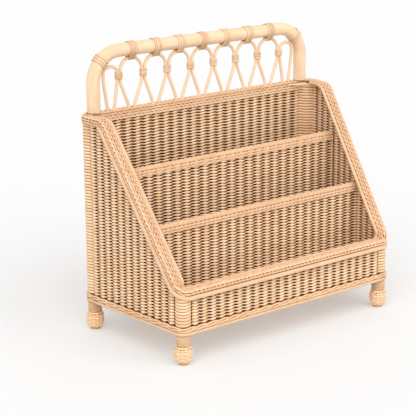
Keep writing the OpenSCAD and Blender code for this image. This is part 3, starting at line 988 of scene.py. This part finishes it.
@dataclass
class Basket:
    """The four woven walls: weavers that pass round stakes and corner posts in continuous rows."""

    shape: Shape
    trees: Trees
    gaps: tuple[int, int, int, int] = (24, 13, 24, 13)
    weaving: Weaving = Weaving()
    inner_r: float = 9.3
    shade_sheet_end: float = 9.0
    shade_sheet_drop: float = 7.0
    bands: tuple[tuple[str, int], ...] = (("lower", 12), ("middle", 20), ("upper", 28))

    def _wall(self, start: np.ndarray, end: np.ndarray, gaps: int, first: int) -> dict:
        """Directions of one wall, and which of its stakes are passed on the outside."""
        ahead = normalized(end - start)
        return {
            "start": start,
            "end": end,
            "ahead": ahead,
            "out": np.array([ahead[1], -ahead[0]]),
            "length": float(np.linalg.norm(end - start)),
            "gaps": gaps,
            "first": first,
        }

    def _loop(self, odd: int) -> Line:
        """Path of one row round the whole rack.

        Args:
            odd: 0 for rows that pass the first post outside, 1 for those that pass it inside.

        Returns:
            The row's path at height 0, with the wall's top at each point.
        """
        shape = self.shape
        posts = list(shape.posts().values())
        walls, first = [], odd
        for k, gaps in enumerate(self.gaps):
            walls.append(self._wall(posts[k], posts[(k + 1) % 4], gaps, first))
            first += gaps
        points: list[np.ndarray] = []
        tops: list[float] = []
        angles: list[float] = []
        opening = 0
        low, high = shape.front_h - 6.5, shape.back_h - 6.5
        for k, wall in enumerate(walls):
            last = walls[k - 1]
            corner = self._corner(last, wall, posts[k])
            points.extend(corner)
            tops.extend([low if k < 2 else high] * len(corner))
            angles.extend([0.0] * len(corner))
            pitch = wall["length"] / wall["gaps"]
            outside = wall["first"] % 2 == 0
            leaves = (wall["first"] + wall["gaps"]) % 2 == 0
            begin = 1 if outside else self.weaving.segments + 1
            finish = wall["gaps"] * self.weaving.segments - (1 if leaves else self.weaving.segments + 1)
            if k == 0:
                opening = len(points) + 6
            for i in range(begin, finish + 1):
                x = pitch * i / self.weaving.segments
                turn = math.pi * (i / self.weaving.segments + wall["first"])
                by_post = outside and i < self.weaving.segments
                by_post = by_post or (leaves and i > (wall["gaps"] - 1) * self.weaving.segments)
                angles.append(0.0 if by_post else turn)
                v = self.weaving.swing * math.cos(turn)
                place = wall["start"] + wall["ahead"] * x + wall["out"] * (shape.wall_v + v)
                points.append(place)
                along = {0: None, 1: x, 2: None, 3: wall["length"] - x}[k]
                if along is None:
                    tops.append(low if k == 0 else high)
                else:
                    tops.append(float(shape.side_top(np.array(along), -6.0)))
        ring = np.roll(np.array(points), -opening, axis=0)
        limit = np.roll(np.array(tops), -opening)
        turns = np.roll(np.array(angles), -opening)
        ring, limit, turns = (np.concatenate([part, part[:1]]) for part in (ring, limit, turns))
        return twined_line(ring, limit, turns)

    def _corner(self, last: dict, wall: dict, post: np.ndarray) -> list[np.ndarray]:
        """The row's way round one post, on its outside or on its inside.

        Args:
            last: wall that ends at the post.
            wall: wall that begins at the post.
            post: the post's centre.

        Returns:
            The points between the two walls.
        """
        reach = self.shape.wall_v + self.weaving.swing
        if wall["first"] % 2 == 0:
            start = math.atan2(last["out"][1], last["out"][0])
            turn = math.acos(float(last["out"] @ wall["out"]))
            angles = [start + turn * i / 6 for i in range(7)]
            return [post + reach * np.array([math.cos(a), math.sin(a)]) for a in angles]
        inward = -normalized(last["out"] + wall["out"])
        middle, half = math.atan2(inward[1], inward[0]), math.radians(21)
        angles = [middle + half * (1 - 2 * i / 4) for i in range(5)]
        bend = [post + self.inner_r * np.array([math.cos(a), math.sin(a)]) for a in angles]
        enter = np.array([math.sin(angles[0]), -math.cos(angles[0])])
        leave = np.array([math.sin(angles[-1]), -math.cos(angles[-1])])
        before = last["length"] / last["gaps"]
        after = wall["length"] / wall["gaps"]
        begin = post - last["ahead"] * before + last["out"] * reach
        finish = post + wall["ahead"] * after + wall["out"] * reach
        way = [begin, *hermite(begin, bend[0], last["ahead"], enter, 5), *bend]
        return [*way, *hermite(bend[-1], finish, leave, wall["ahead"], 5), finish]

    def _shade_sheet(self) -> None:
        """Thin dark sheets in the middle of the walls, behind the openings between the rows: painted shade
        that stands for the dark depth of the weave.
        """
        s = self.shape
        low = s.wale_low + 1
        outlines = []
        ends, drop = self.shade_sheet_end, self.shade_sheet_drop
        front, back = (1.0, s.post_xf, s.front_h), (-1.0, s.post_xb, s.back_h)
        for turn, post_x, height in (front, back):
            y, half, top = -turn * s.mid_y, post_x - ends, height - drop
            corners = [(-turn * half, low), (turn * half, low), (turn * half, top), (-turn * half, top)]
            outlines.append((np.array([[x, y, z] for x, z in corners]), np.array([0.0, -turn, 0.0])))
        x = np.linspace(ends, s.side_len - ends, 24)
        top = s.side_top(x, -drop)
        for hand in (-1, 1):
            corners = [s.on_side(x[-1], 0, low, hand), s.on_side(x[0], 0, low, hand)]
            corners += [s.on_side(a, 0, b, hand) for a, b in zip(x, top, strict=True)]
            across = np.array([hand * math.cos(s.angle), -math.sin(s.angle), 0.0])
            corners = corners if hand < 0 else corners[::-1]
            outlines.append((np.array(corners), across))
        settled(sheets("wall_shade_sheet", outlines, self.weaving.shade_sheet_half), "woven_cane")

    def build(self) -> None:
        """Weaves the walls in bands of rows and dresses the stakes and posts."""
        shape = self.shape
        lines = [self._loop(0), self._loop(1)]
        nodes = [f"{side}_weave" for side in ("front", "back", "left", "right")]
        nodes += [f"corner_weave_{place}" for place in shape.posts()]
        weaving = self.weaving
        first = shape.wale_top + weaving.height / 2
        for number, (band, rows) in enumerate(self.bands):
            self.trees.weave.lay(
                f"wall_weave_{band}", lines, WEAVER, "woven_cane", nodes, Width=weaving.width,
                Thickness=weaving.height, Rows=rows, First_Row=first, Row_Step=weaving.row_step,
                Seed=3.0 + number,
            )
            first += rows * weaving.row_step
        # Dark sheets inside the walls: painted shade behind the openings of the weave.
        self._shade_sheet()
        for node in ("front_stakes", "back_stakes", "left_stakes", "right_stakes"):
            dress(node, STAKE)
        for place in shape.posts():
            dress(f"corner_post_{place}", POST)


def sheets(
    name: str, outlines: Sequence[tuple[np.ndarray, np.ndarray]], half: float
) -> bpy.types.Object:
    """Thin upright sheets in the near-black finish: painted shade that stands for the dark depth behind a
    weave.

    Args:
        name: the piece's name.
        outlines: for each sheet, its corners in order and the direction across it.
        half: half its thickness, in millimetres.

    Returns:
        The piece.
    """
    points, faces = [], []
    for corners, across in outlines:
        first, count = len(points), len(corners)
        points.extend((corners + across * half) * MM)
        points.extend((corners - across * half) * MM)
        faces.append([first + i for i in range(count)])
        faces.append([first + count + i for i in range(count)][::-1])
        for i in range(count):
            j = (i + 1) % count
            faces.append([first + i, first + count + i, first + count + j, first + j])
    mesh = bpy.data.meshes.new(name)
    mesh.from_pydata([tuple(p) for p in points], [], faces)
    mesh.materials.append(SHADE_SHEET.material())
    return linked(name, mesh)


def hermite(
    start: np.ndarray, end: np.ndarray, leave: np.ndarray, enter: np.ndarray, count: int
) -> list[np.ndarray]:
    """Points between two ends of a smooth curve, without the ends.

    Args:
        start: first end.
        end: second end.
        leave: direction at the start.
        enter: direction at the end.
        count: steps.

    Returns:
        The points between the ends.
    """
    span = float(np.linalg.norm(end - start))
    points = []
    for i in range(1, count):
        t = i / count
        place = (2 * t**3 - 3 * t**2 + 1) * start + (3 * t**2 - 2 * t**3) * end
        points.append(place + span * ((t**3 - 2 * t**2 + t) * leave + (t**3 - t**2) * enter))
    return points


def twined_line(points: np.ndarray, top: np.ndarray | None, angles: np.ndarray) -> Line:
    """A strand of a twined pair, thin and to one side where it crosses the other strand.

    Args:
        points: x and y of each point.
        top: height at which the wall ends at each point.
        angles: turn of the strand round the pair's middle, 0 where it passes a stake outside.

    Returns:
        The strand's path at height 0.
    """
    crossing = np.sin(angles)
    path = np.column_stack([points, np.zeros(len(points))])
    run = Track(path, np.tile(UP, (len(path), 1)))
    path[:, 2] = TWIST * crossing
    return Line(path, run.side, run.up, run.distance, top=top, girth=1.0 - PINCH * crossing**2)


def dress(node: str, finish: CaneFinish | SteelFinish) -> None:
    """Gives a CAD node its finish."""
    mesh = bpy.data.objects[node].data
    mesh.materials.clear()
    mesh.materials.append(finish.material())


@dataclass
class Dividers:
    """The two woven dividers with their rope borders."""

    shape: Shape
    trees: Trees
    gaps: int = 24
    weaving: Weaving = Weaving()
    weave_drop: float = 6.0
    shade_sheet_drop: float = 7.0
    shade_core_w: float = -8.4
    shade_core: tuple[float, float] = (7.4, 12.5)
    rope_d: float = 5.0
    rope_pitch: float = 17.0
    rope_places: tuple[tuple[float, float], ...] = (
        (0.0, -2.5),
        (-3.7, -4.7),
        (3.7, -4.7),
        (-3.8, -9.4),
        (3.8, -9.4),
        (-3.9, -14.0),
        (3.9, -14.0),
    )

    def _rows(self, y: float) -> list[Line]:
        """Paths of an even and an odd row of the divider at y."""
        half = self.shape.half_clear(y)
        count = self.gaps * self.weaving.segments
        lines = []
        for odd in (0, 1):
            steps = np.arange(count + 1)
            x = np.clip(2 * half * (steps / count - 0.5), 0.6 - half, half - 0.6)
            v = self.weaving.swing * np.cos(math.pi * (steps / self.weaving.segments + odd))
            turns = math.pi * (steps / self.weaving.segments + odd)
            lines.append(twined_line(np.column_stack([x, y + v]), None, turns))
        return lines

    def build(self) -> None:
        """Weaves both dividers and lays their borders."""
        for place in ("rear", "front"):
            border = f"{place}_divider_border"
            y, top = self.shape.middle(border)[1], self.shape.high(border)
            weaving = self.weaving
            first = self.shape.floor_top + weaving.height / 2
            rows = int((top - self.weave_drop - first) / weaving.row_step) + 1
            self.trees.weave.lay(
                f"{place}_divider_weavers", self._rows(y), WEAVER, "woven_cane",
                (f"{place}_divider_weave",), Width=weaving.width, Thickness=weaving.height, Rows=rows,
                First_Row=first, Row_Step=weaving.row_step, Seed=11.0 if place == "rear" else 17.0,
            )
            half = self.shape.half_clear(y - 5) - 0.2
            run = straight_run((half, y, top), (-half, y, top), 1.5)
            lines = [run.at(v, w, 1.3 * k) for k, (v, w) in enumerate(self.rope_places)]
            self.trees.rope.lay(
                f"{place}_divider_ropes", lines, PLAIT, "plaited_cane", (border,),
                Width=self.rope_d * 0.5, Thickness=self.rope_d * 0.5, Strands=2, Pitch=self.rope_pitch,
                Reach=self.rope_d * 0.26, Rise=self.rope_d * 0.26,
            )
            # A near-black core under the border ropes: painted shade in the gaps between the strands.
            self.trees.cane.lay(
                f"{place}_divider_shade_core", [run.at(0, self.shade_core_w)], SHADE_CORE, "plaited_cane",
                Width=self.shade_core[0], Thickness=self.shade_core[1],
            )
            # A dark sheet inside the divider: painted shade behind the openings of its weave.
            reach, low = half - 1.0, self.shape.floor_top + 1
            head = top - self.shade_sheet_drop
            corners = [(-reach, low), (reach, low), (reach, head), (-reach, head)]
            outline = np.array([[x, y, z] for x, z in corners])
            outlines = [(outline, np.array([0.0, -1.0, 0.0]))]
            shade_sheet = sheets(f"{place}_divider_shade_sheet", outlines, weaving.shade_sheet_half)
            settled(shade_sheet, "woven_cane")
            dress(f"{place}_divider_stakes", STAKE)
        dress("divider_rails", BEARER)


@dataclass
class Rim:
    """The plaited rim on the sides and front, its canes, and the border of the back wall."""

    shape: Shape
    trees: Trees
    rows: tuple[float, ...] = (-5.4, -1.1, 3.2, 7.4)
    rope_r: float = 2.15
    pitch: float = 18.0
    edge_d: float = 2.3
    edge_pitch: float = 15.0
    lip_length: float = 80.0
    shade_core: tuple[float, float, float, float] = (1.0, -5.6, 14.0, 7.6)
    back_d: float = 2.4
    back_pitch: float = 17.0
    back_places: tuple[tuple[float, float], ...] = (
        (-4.3, -2.5),
        (0.3, -2.4),
        (4.9, -2.5),
        (6.8, -6.7),
        (6.7, -11.0),
        (-4.2, -6.9),
        (-4.2, -11.4),
        (-4.2, -15.8),
    )
    back_shade_core: tuple[float, float, float, float] = (1.3, -7.6, 10.5, 9.5)
    outer_cane: tuple[float, float, float] = (7.75, -13.4, 7.6)
    inner_cane: tuple[float, float, float] = (-10.6, -3.8, 6.0)

    def _run(self, step: float) -> Track:
        """The run along the top of the rim from the rear left corner round to the rear right one."""
        s = self.shape
        sides, ups = {}, {}
        for hand in (-1, 1):
            sides[hand] = [
                s.on_side(s.rear_x, 0, s.back_h, hand) - np.array([hand * (s.corner_r + 2), 0, 0]),
                s.on_side(s.rear_x, 0, s.back_h, hand),
                s.on_side(s.bend_x, 0, s.back_h, hand),
                s.on_side(s.corner_x, 0, s.front_h, hand),
            ]
            down = normalized(sides[hand][3] - sides[hand][2])
            ups[hand] = normalized(UP - down * (UP @ down))
        corners = sides[-1] + sides[1][::-1]
        radii = (s.corner_r, s.bend_r, s.corner_r, s.corner_r, s.bend_r, s.corner_r)
        directions = (UP, UP, ups[-1], UP, ups[1], UP, UP)
        return bent_run(corners, radii, directions).spaced(step)

    def build(self) -> None:
        """Lays the rim's ropes and canes and the back border."""
        self._side_rim()
        self._back_border()
        dress("rim_rail", BEARER)
        dress("back_rail", BEARER)

    def _side_rim(self) -> None:
        """Ropes, a near-black core of painted shade under them, and canes of the rim on the sides and
        front.
        """
        s = self.shape
        run = self._run(1.7)
        end = run.distance[-1]
        level = float(np.linalg.norm(run.points[0] - s.on_side(s.bend_x, 0, s.back_h)))
        level = min(level + 8.0, self.lip_length)
        strand = self.rope_r * 0.5
        self.trees.rope.lay(
            "rim_ropes", [run.at(v, -self.rope_r, 0.9 * k) for k, v in enumerate(self.rows)], PLAIT,
            "plaited_cane", ("rim_left", "rim_right", "rim_front"), Width=2 * strand,
            Thickness=2 * strand, Strands=2, Pitch=self.pitch, Reach=self.rope_r - strand,
            Rise=self.rope_r - strand,
        )
        edge = [run.at(7.9, -6.4, 0.4)]
        for lip in (run.part(0, level), run.part(end - level, end)):
            edge.append(lip.at(7.8, -10.6, 1.1))
        self.trees.rope.lay(
            "rim_edge_ropes", edge, PLAIT, "plaited_cane", Width=self.edge_d, Thickness=self.edge_d,
            Strands=2, Pitch=self.edge_pitch, Reach=1.1, Rise=1.1,
        )
        # A near-black core under the rim ropes: painted shade in the gaps between the strands.
        v, w, wide, thick = self.shade_core
        self.trees.cane.lay(
            "rim_shade_core", [run.at(v, w)], SHADE_CORE, "plaited_cane", Width=wide, Thickness=thick, Sides=10
        )
        v, w, d = self.outer_cane
        self.trees.cane.lay(
            "outer_cane", [run.part(level - 4, end - level + 4).at(v, w)], EDGE, "peeled_rattan",
            ("outer_piping",), Width=d, Thickness=d, Sides=16,
        )
        v, w, d = self.inner_cane
        self.trees.cane.lay(
            "inner_cane", [run.part(32, end - 32).at(v, w)], EDGE, "peeled_rattan", ("inner_piping",),
            Width=d, Thickness=d, Sides=14,
        )

    def _back_border(self) -> None:
        """Fine ropes over the top and both faces of the back wall's border."""
        s = self.shape
        half = float(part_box("back_border")[1].x) / MM
        run = straight_run((half, s.mid_y, s.back_h), (-half, s.mid_y, s.back_h), 1.2)
        lines = [run.at(v, w, 1.7 * k) for k, (v, w) in enumerate(self.back_places)]
        self.trees.rope.lay(
            "back_border_ropes", lines, PLAIT, "plaited_cane", ("back_border",), Width=self.back_d,
            Thickness=self.back_d, Sides=6, Strands=2, Pitch=self.back_pitch, Reach=self.back_d / 2,
            Rise=self.back_d / 2,
        )
        # A near-black core under the border ropes: painted shade in the gaps between the strands.
        v, w, wide, thick = self.back_shade_core
        self.trees.cane.lay(
            "back_border_shade_core", [run.at(v, w)], SHADE_CORE, "plaited_cane", Width=wide, Thickness=thick
        )


@dataclass
class Base:
    """The rope and cane round the foot of the walls, and the woven floor."""

    shape: Shape
    trees: Trees
    rope_v: float = 4.7
    pitch: float = 66.0
    slats: int = 22
    strip_w: float = 5.0

    def build(self) -> None:
        """Lays the base ropes, the base cane and the floor."""
        s = self.shape
        middle = (s.wale_low + s.wale_top) / 2
        run = s.outline(0.0, middle, 2.4)
        self.trees.rope.lay(
            "base_ropes", [run.at(self.rope_v, 0.0)], PLAIT, "plaited_cane", ("base_wale",), Width=2.6,
            Thickness=3.3, Strands=3, Pitch=self._fitting(run, self.pitch), Reach=1.1, Rise=2.6,
        )
        # A near-black cane behind the base rope: painted shade in the gaps between its strands.
        self.trees.cane.lay(
            "base_shade_core", [run.at(3.2, 0.0)], SHADE_CORE, "plaited_cane", Width=2.4, Thickness=8.6,
            Sides=10,
        )
        run = s.outline(0.0, (s.base_low + s.base_top) / 2, 5.0)
        self.trees.cane.lay(
            "base_band", [run.at(4.6, 0.0)], EDGE, "peeled_rattan", ("base_cane",), Width=4.2,
            Thickness=s.base_top - s.base_low, Sides=12,
        )
        self._floor()
        dress("base_rails", BEARER)
        dress("floor_bearers", POST)

    @staticmethod
    def _fitting(run: Track, pitch: float) -> float:
        """The pitch nearest to the asked one that closes the rope on itself."""
        around = run.distance[-1] + float(np.linalg.norm(run.points[0] - run.points[-1]))
        return around / round(around / pitch)

    def _floor(self) -> None:
        """Strips across the rack, woven over and under flat slats that run front to back."""
        s = self.shape
        level = (s.floor_low + s.floor_top) / 2
        reach = s.mid_y - s.wall_t / 2 - 1.0
        slats = []
        for k in range(self.slats + 1):
            x = (k / self.slats - 0.5) * 2 * (s.post_xf - 14)
            slats.append(straight_run((x, -reach, level), (x, reach, level), 60.0).at(0, 0))
        self.trees.cane.lay("floor_slats", slats, SLAT, "woven_cane", Width=9, Thickness=1.6)
        strips = []
        count = int(2 * reach / (self.strip_w + 0.3))
        for row in range(count):
            y = -reach + (row + 0.5) * 2 * reach / count
            clear = s.half_clear(y) - 1.0
            if abs(y) > s.post_y - 13:
                clear = (s.post_xf if y < 0 else s.post_xb) - 13.5
            x = np.arange(-clear, clear, 3.2)
            pitch = 2 * (s.post_xf - 14) / self.slats
            z = 1.7 * np.cos(math.pi * (x / pitch + row)) + level
            path = np.column_stack([x, np.full(len(x), y), z])
            strips.append(Track(path, np.tile(UP, (len(path), 1))).at(0, 0))
        self.trees.cane.lay(
            "floor_strips", strips, WEAVER, "woven_cane", ("woven_floor",), Width=self.strip_w,
            Thickness=1.6, Sides=6,
        )


@dataclass
class Feet:
    """Four woven ball feet with wrapped necks and flat soles."""

    shape: Shape
    trees: Trees
    ribs: int = 12
    rows: int = 7
    wraps: int = 10
    inset: float = 1.9
    swing: float = 0.95
    roundness: float = 3.6

    @staticmethod
    def _ring(centre: np.ndarray, reach: np.ndarray | float, angles: np.ndarray, z: float) -> Line:
        """A closed level path round a foot.

        Args:
            centre: x and y of the foot's middle.
            reach: distance of each point from it.
            angles: direction of each point from it.
            z: height of the path.

        Returns:
            The path.
        """
        x, y = centre[0] + reach * np.cos(angles), centre[1] + reach * np.sin(angles)
        points = np.column_stack([x, y, np.full(len(angles), z)])
        return Track(points, np.tile(UP, (len(points), 1)), closed=True).at(0, 0)

    def build(self) -> None:
        """Weaves each ball and wraps each neck."""
        for place, centre in self.shape.posts().items():
            self._ball(place, centre)
            self._neck(place, centre)
        dress("foot_soles", SOLE)

    def _ball(self, place: str, centre: np.ndarray) -> None:
        """Ribs and woven rows of one ball."""
        low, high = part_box(f"ball_foot_{place}")
        radius = float(high.x - low.x) / 2 / MM
        bottom, top = float(low.z) / MM, float(high.z) / MM
        middle = (bottom + top) / 2
        ribs = []
        for k in range(self.ribs):
            angle = 2 * math.pi * (k + 0.5) / self.ribs
            tilt = np.linspace(-math.asin(min(1, (middle - bottom) / radius)), 0, 6)
            tilt = np.concatenate([tilt, -tilt[-2::-1]])
            out = np.array([math.cos(angle), math.sin(angle)])
            reach = (radius - self.inset) * np.cos(tilt) ** 0.7
            z = middle + (radius - 0.4) * np.sin(tilt)
            points = np.column_stack([centre[0] + out[0] * reach, centre[1] + out[1] * reach, z])
            around = np.tile(np.array([-out[1], out[0], 0.0]), (len(points), 1))
            ribs.append(Track(points, around).at(0, 0))
        self.trees.cane.lay(f"ball_ribs_{place}", ribs, WEAVER, "woven_cane", Width=2.4, Thickness=2.4)
        rows = []
        height = (top - bottom) / self.rows
        for row in range(self.rows):
            z = bottom + height * (row + 0.5)
            share = abs((z - middle) / (top - bottom + 1.0) * 2)
            reach = radius * (1 - share**self.roundness) ** (1 / self.roundness) - self.inset
            angles = np.linspace(0, 2 * math.pi, 6 * self.ribs, endpoint=False)
            turns = self.ribs / 2 * (angles - math.pi / self.ribs) + math.pi * row
            rows.append(self._ring(centre, reach + self.swing * np.cos(turns), angles, z))
        self.trees.cane.lay(
            f"ball_rows_{place}", rows, WEAVER, "woven_cane", (f"ball_foot_{place}",), Width=2.0,
            Thickness=3.6, Sides=8,
        )

    def _neck(self, place: str, centre: np.ndarray) -> None:
        """Close wraps of thin cane round one neck."""
        low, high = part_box(f"neck_wrap_{place}")
        radius = float(high.x - low.x) / 2 / MM
        bottom, top = float(low.z) / MM, float(high.z) / MM
        step = (top - bottom) / self.wraps
        angles = np.linspace(0, 2 * math.pi, 28, endpoint=False)
        ring = self._ring(centre, radius - step / 2, angles, (bottom + top) / 2)
        self.trees.cane.lay(
            f"neck_turns_{place}", [ring], LASHING, "plaited_cane", (f"neck_wrap_{place}",),
            Width=step * 0.98, Thickness=step * 0.86, Turns=self.wraps, Turn_Step=step,
        )


@dataclass
class Handle:
    """The bent pole above the back wall, its fretwork loops and their bindings."""

    shape: Shape
    trees: Trees
    loops: int = 9
    loop_pitch: float = 48.0
    loop_d: float = 5.4
    coupling_h: float = 12.0
    bend_r: float = 30.0
    foot: float = 6.5
    turns: int = 3

    def build(self) -> None:
        """Bends the pole and the loops and binds them."""
        self._pole()
        self._loops()
        self._lashings()
        self._couplings()
        dress("hoop_pins", STEEL)

    def _pole(self) -> None:
        """The pole: two uprights and a straight top, joined by round bends."""
        s = self.shape
        x, y, z = s.hoop_x, s.hoop_y, s.hoop_z
        low = s.low("handle_hoop")
        corners = [np.array(p) for p in ([-x, y, low], [-x, y, z], [x, y, z], [x, y, low])]
        back = np.array([0.0, 1.0, 0.0])
        run = bent_run(corners, (s.hoop_bend_r,) * 2, (back,) * 3).spaced(4.0)
        self.trees.cane.lay(
            "handle_pole", [run.at(0, 0)], POLE, "peeled_rattan", ("handle_hoop",), Width=2 * s.pole_r,
            Thickness=2 * s.pole_r, Sides=28,
        )

    def _loops(self) -> None:
        """The loops between the back wall and the pole."""
        s = self.shape
        coupling = s.middle("loop_couplings")[2]
        shoulder, waist = coupling + self.coupling_h / 2, coupling - self.coupling_h / 2
        back = np.array([0.0, 1.0, 0.0])
        for number in range(1, self.loops + 1):
            node = f"fret_loop_{number}"
            low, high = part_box(node)
            half = float(high.x - low.x) / 2 / MM - self.loop_d / 2
            centre = self.shape.middle(node)[0]
            top, bottom = float(high.z) / MM - self.loop_d / 2, float(low.z) / MM
            arch = top - shoulder
            lean = math.atan2(half - self.foot, waist - s.back_h - 8)
            quarter, bend = np.linspace(0, math.pi / 2, 14), np.linspace(0, lean, 5)
            points = [[half * math.sin(a), shoulder + arch * math.cos(a)] for a in quarter]
            points += [
                [half - self.bend_r * (1 - math.cos(a)), waist - self.bend_r * math.sin(a)] for a in bend
            ]
            points += [[self.foot + 0.6, s.back_h + 6], [self.foot, s.back_h + 3], [self.foot, bottom]]
            right = np.array(points)
            left = right[:0:-1] * np.array([-1.0, 1.0])
            flat = np.concatenate([left, right])
            path = np.column_stack([centre + flat[:, 0], np.full(len(flat), s.hoop_y), flat[:, 1]])
            run = Track(path, np.tile(back, (len(path), 1)))
            self.trees.cane.lay(
                f"loop_cane_{number}", [run.at(0, 0)], POLE, "peeled_rattan", (node,), Width=self.loop_d,
                Thickness=self.loop_d, Sides=12,
            )

    def _lashings(self) -> None:
        """Flat cane wound round the pole, and round the loops' tops along the straight of the pole."""
        s = self.shape
        lines = []
        across = np.array([1.0, 0.0, 0.0])
        drop, small = s.pole_r + self.loop_d / 2 + 0.1, self.loop_d / 2 + 0.95
        large = s.pole_r + 0.95
        tilt = math.asin((large - small) / drop)
        upper = np.linspace(-tilt, math.pi + tilt, 26)
        lower = np.linspace(math.pi + tilt, 2 * math.pi - tilt, 9)[1:-1]
        pear = [[large * math.cos(a), large * math.sin(a)] for a in upper]
        pear += [[small * math.cos(a), small * math.sin(a) - drop] for a in lower]
        for number in range(1, self.loops - 1):
            x = (number - (self.loops - 1) / 2) * self.loop_pitch
            points = np.array([[x, s.hoop_y + p[0], s.hoop_z + p[1]] for p in pear])
            lines.append(Track(points, np.tile(across, (len(points), 1)), closed=True).at(0, 0))
        ring = np.linspace(0, 2 * math.pi, 30, endpoint=False)
        for hand in (-1, 1):
            turn = s.hoop_bend_r * math.sqrt(0.5)
            centre = np.array(
                [hand * (s.hoop_x - s.hoop_bend_r + turn), s.hoop_y, s.hoop_z - s.hoop_bend_r + turn]
            )
            ahead = np.array([hand * math.sqrt(0.5), 0.0, -math.sqrt(0.5)])
            out = np.array([hand * math.sqrt(0.5), 0.0, math.sqrt(0.5)])
            back = np.array([0.0, 1.0, 0.0])
            points = np.array([centre + large * (math.cos(a) * out + math.sin(a) * back) for a in ring])
            lines.append(Track(points, np.tile(ahead, (len(points), 1)), closed=True).at(0, 0))
        self.trees.cane.lay(
            "lashing_turns", lines, LASHING, "plaited_cane", ("pole_lashings",), Width=1.9,
            Thickness=4.5, Sides=10, Turns=self.turns, Turn_Step=4.65,
        )

    def _couplings(self) -> None:
        """Flat cane wound round each pair of neighbouring loops."""
        s = self.shape
        level = s.middle("loop_couplings")[2]
        apart, reach = 2.75, self.loop_d / 2 + 0.85
        right = np.linspace(-math.pi / 2, math.pi / 2, 9)
        band = [[apart + reach * math.cos(a), reach * math.sin(a)] for a in right]
        band += [[-p[0], -p[1]] for p in band]
        lines = []
        for number in range(self.loops - 1):
            x = (number - (self.loops - 2) / 2) * self.loop_pitch
            points = np.array([[x + p[0], s.hoop_y + p[1], level] for p in band])
            lines.append(Track(points, np.tile(UP, (len(points), 1)), closed=True).at(0, 0))
        self.trees.cane.lay(
            "coupling_turns", lines, LASHING, "plaited_cane", ("loop_couplings",), Width=1.6,
            Thickness=3.9, Turns=self.turns, Turn_Step=3.8,
        )


# ---- Studio ----


@dataclass
class Studio:
    """A pale floor that glows a little, painted light that lightens the rack's shadow, with soft light
    from above and a camera in front and to the left.
    """

    azimuth: float = -38.8
    elevation: float = 16.06
    distance: float = 2.387
    tilt: float = 15.32
    lens: float = 124.53
    target_z: float = 0.2
    shift: tuple[float, float] = (-0.0875, -0.06)
    floor: tuple[float, float, float] = (0.56, 0.56, 0.56)
    floor_glow: float = 0.30
    surround: float = 0.72
    key: float = 1.40
    fill: float = 0.95

    def build(self) -> None:
        """Sets up the floor, the light and the camera."""
        self._floor()
        self._light()
        self._camera()

    def _floor(self) -> None:
        """A wide pale floor under the soles. It glows evenly: painted light that lightens the rack's
        shadow on it.
        """
        mesh = bpy.data.meshes.new("studio_floor")
        size = 12.0
        corners = [(-size, -size, 0), (size, -size, 0), (size, size, 0), (-size, size, 0)]
        mesh.from_pydata(corners, [], [(0, 1, 2, 3)])
        material = bpy.data.materials.new("studio_paper")
        material.use_nodes = True
        skin = material.node_tree.nodes["Principled BSDF"]
        skin.inputs["Base Color"].default_value = (*self.floor, 1.0)
        # The floor glows though it is no lamp: painted light that lightens the shadow under the rack.
        skin.inputs["Emission Color"].default_value = (1.0, 1.0, 1.0, 1.0)
        skin.inputs["Emission Strength"].default_value = self.floor_glow
        skin.inputs["Roughness"].default_value = 0.9
        skin.inputs["Specular IOR Level"].default_value = 0.1
        mesh.materials.append(material)
        floor = linked("studio_floor", mesh)

    def _lamp(self, name: str, place: tuple[float, float, float], softness: float, power: float) -> None:
        """Adds a distant soft light that faces the rack.

        Args:
            name: the lamp's name.
            place: direction that it shines from.
            softness: its width as an angle, in degrees.
            power: its strength.
        """
        lamp = bpy.data.lights.new(name, "SUN")
        lamp.angle = math.radians(softness)
        lamp.energy = power
        lamp_object = linked(name, lamp)
        lamp_object.location = place
        lamp_object.rotation_euler = (-Vector(place)).to_track_quat("-Z", "Y").to_euler()

    def _light(self) -> None:
        """Soft light from above on both sides, and an even pale surround."""
        world = bpy.data.worlds.new("studio_air")
        world.use_nodes = True
        surround = world.node_tree.nodes["Background"]
        surround.inputs["Color"].default_value = (1.0, 1.0, 1.0, 1.0)
        surround.inputs["Strength"].default_value = self.surround
        bpy.context.scene.world = world
        bpy.context.scene.view_settings.view_transform = "Standard"
        self._lamp("key_light", (-1.7, -1.5, 2.4), 50.0, self.key)
        self._lamp("fill_light", (0.7, -2.4, 1.9), 60.0, self.fill)

    def _camera(self) -> None:
        """The camera, turned down a little less than it is raised."""
        a, e, t = (math.radians(v) for v in (self.azimuth, self.elevation, self.tilt))
        back = Vector((math.sin(a) * math.cos(e), -math.cos(a) * math.cos(e), math.sin(e)))
        ahead = Vector((-math.sin(a) * math.cos(t), math.cos(a) * math.cos(t), -math.sin(t)))
        data = bpy.data.cameras.new("camera")
        data.sensor_width = 36.0
        data.lens = self.lens
        data.shift_x, data.shift_y = self.shift
        data.clip_start, data.clip_end = 0.05, 60.0
        camera = linked("camera", data)
        camera.location = Vector((0.0, 0.0, self.target_z)) + back * self.distance
        camera.rotation_euler = ahead.to_track_quat("-Z", "Y").to_euler()
        bpy.context.scene.camera = camera


def main() -> None:
    """Builds the rack's canes over the CAD frame, and the studio round it."""
    logging.basicConfig(level=logging.INFO, format="%(name)s: %(message)s")
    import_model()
    shape, trees = Shape(), Trees()
    for part in (
        Basket(shape, trees),
        Dividers(shape, trees),
        Rim(shape, trees),
        Base(shape, trees),
        Feet(shape, trees),
        Handle(shape, trees),
    ):
        part.build()
        LOG.info("%s is built", type(part).__name__.lower())
    Studio().build()


if __name__ == "__main__":
    main()
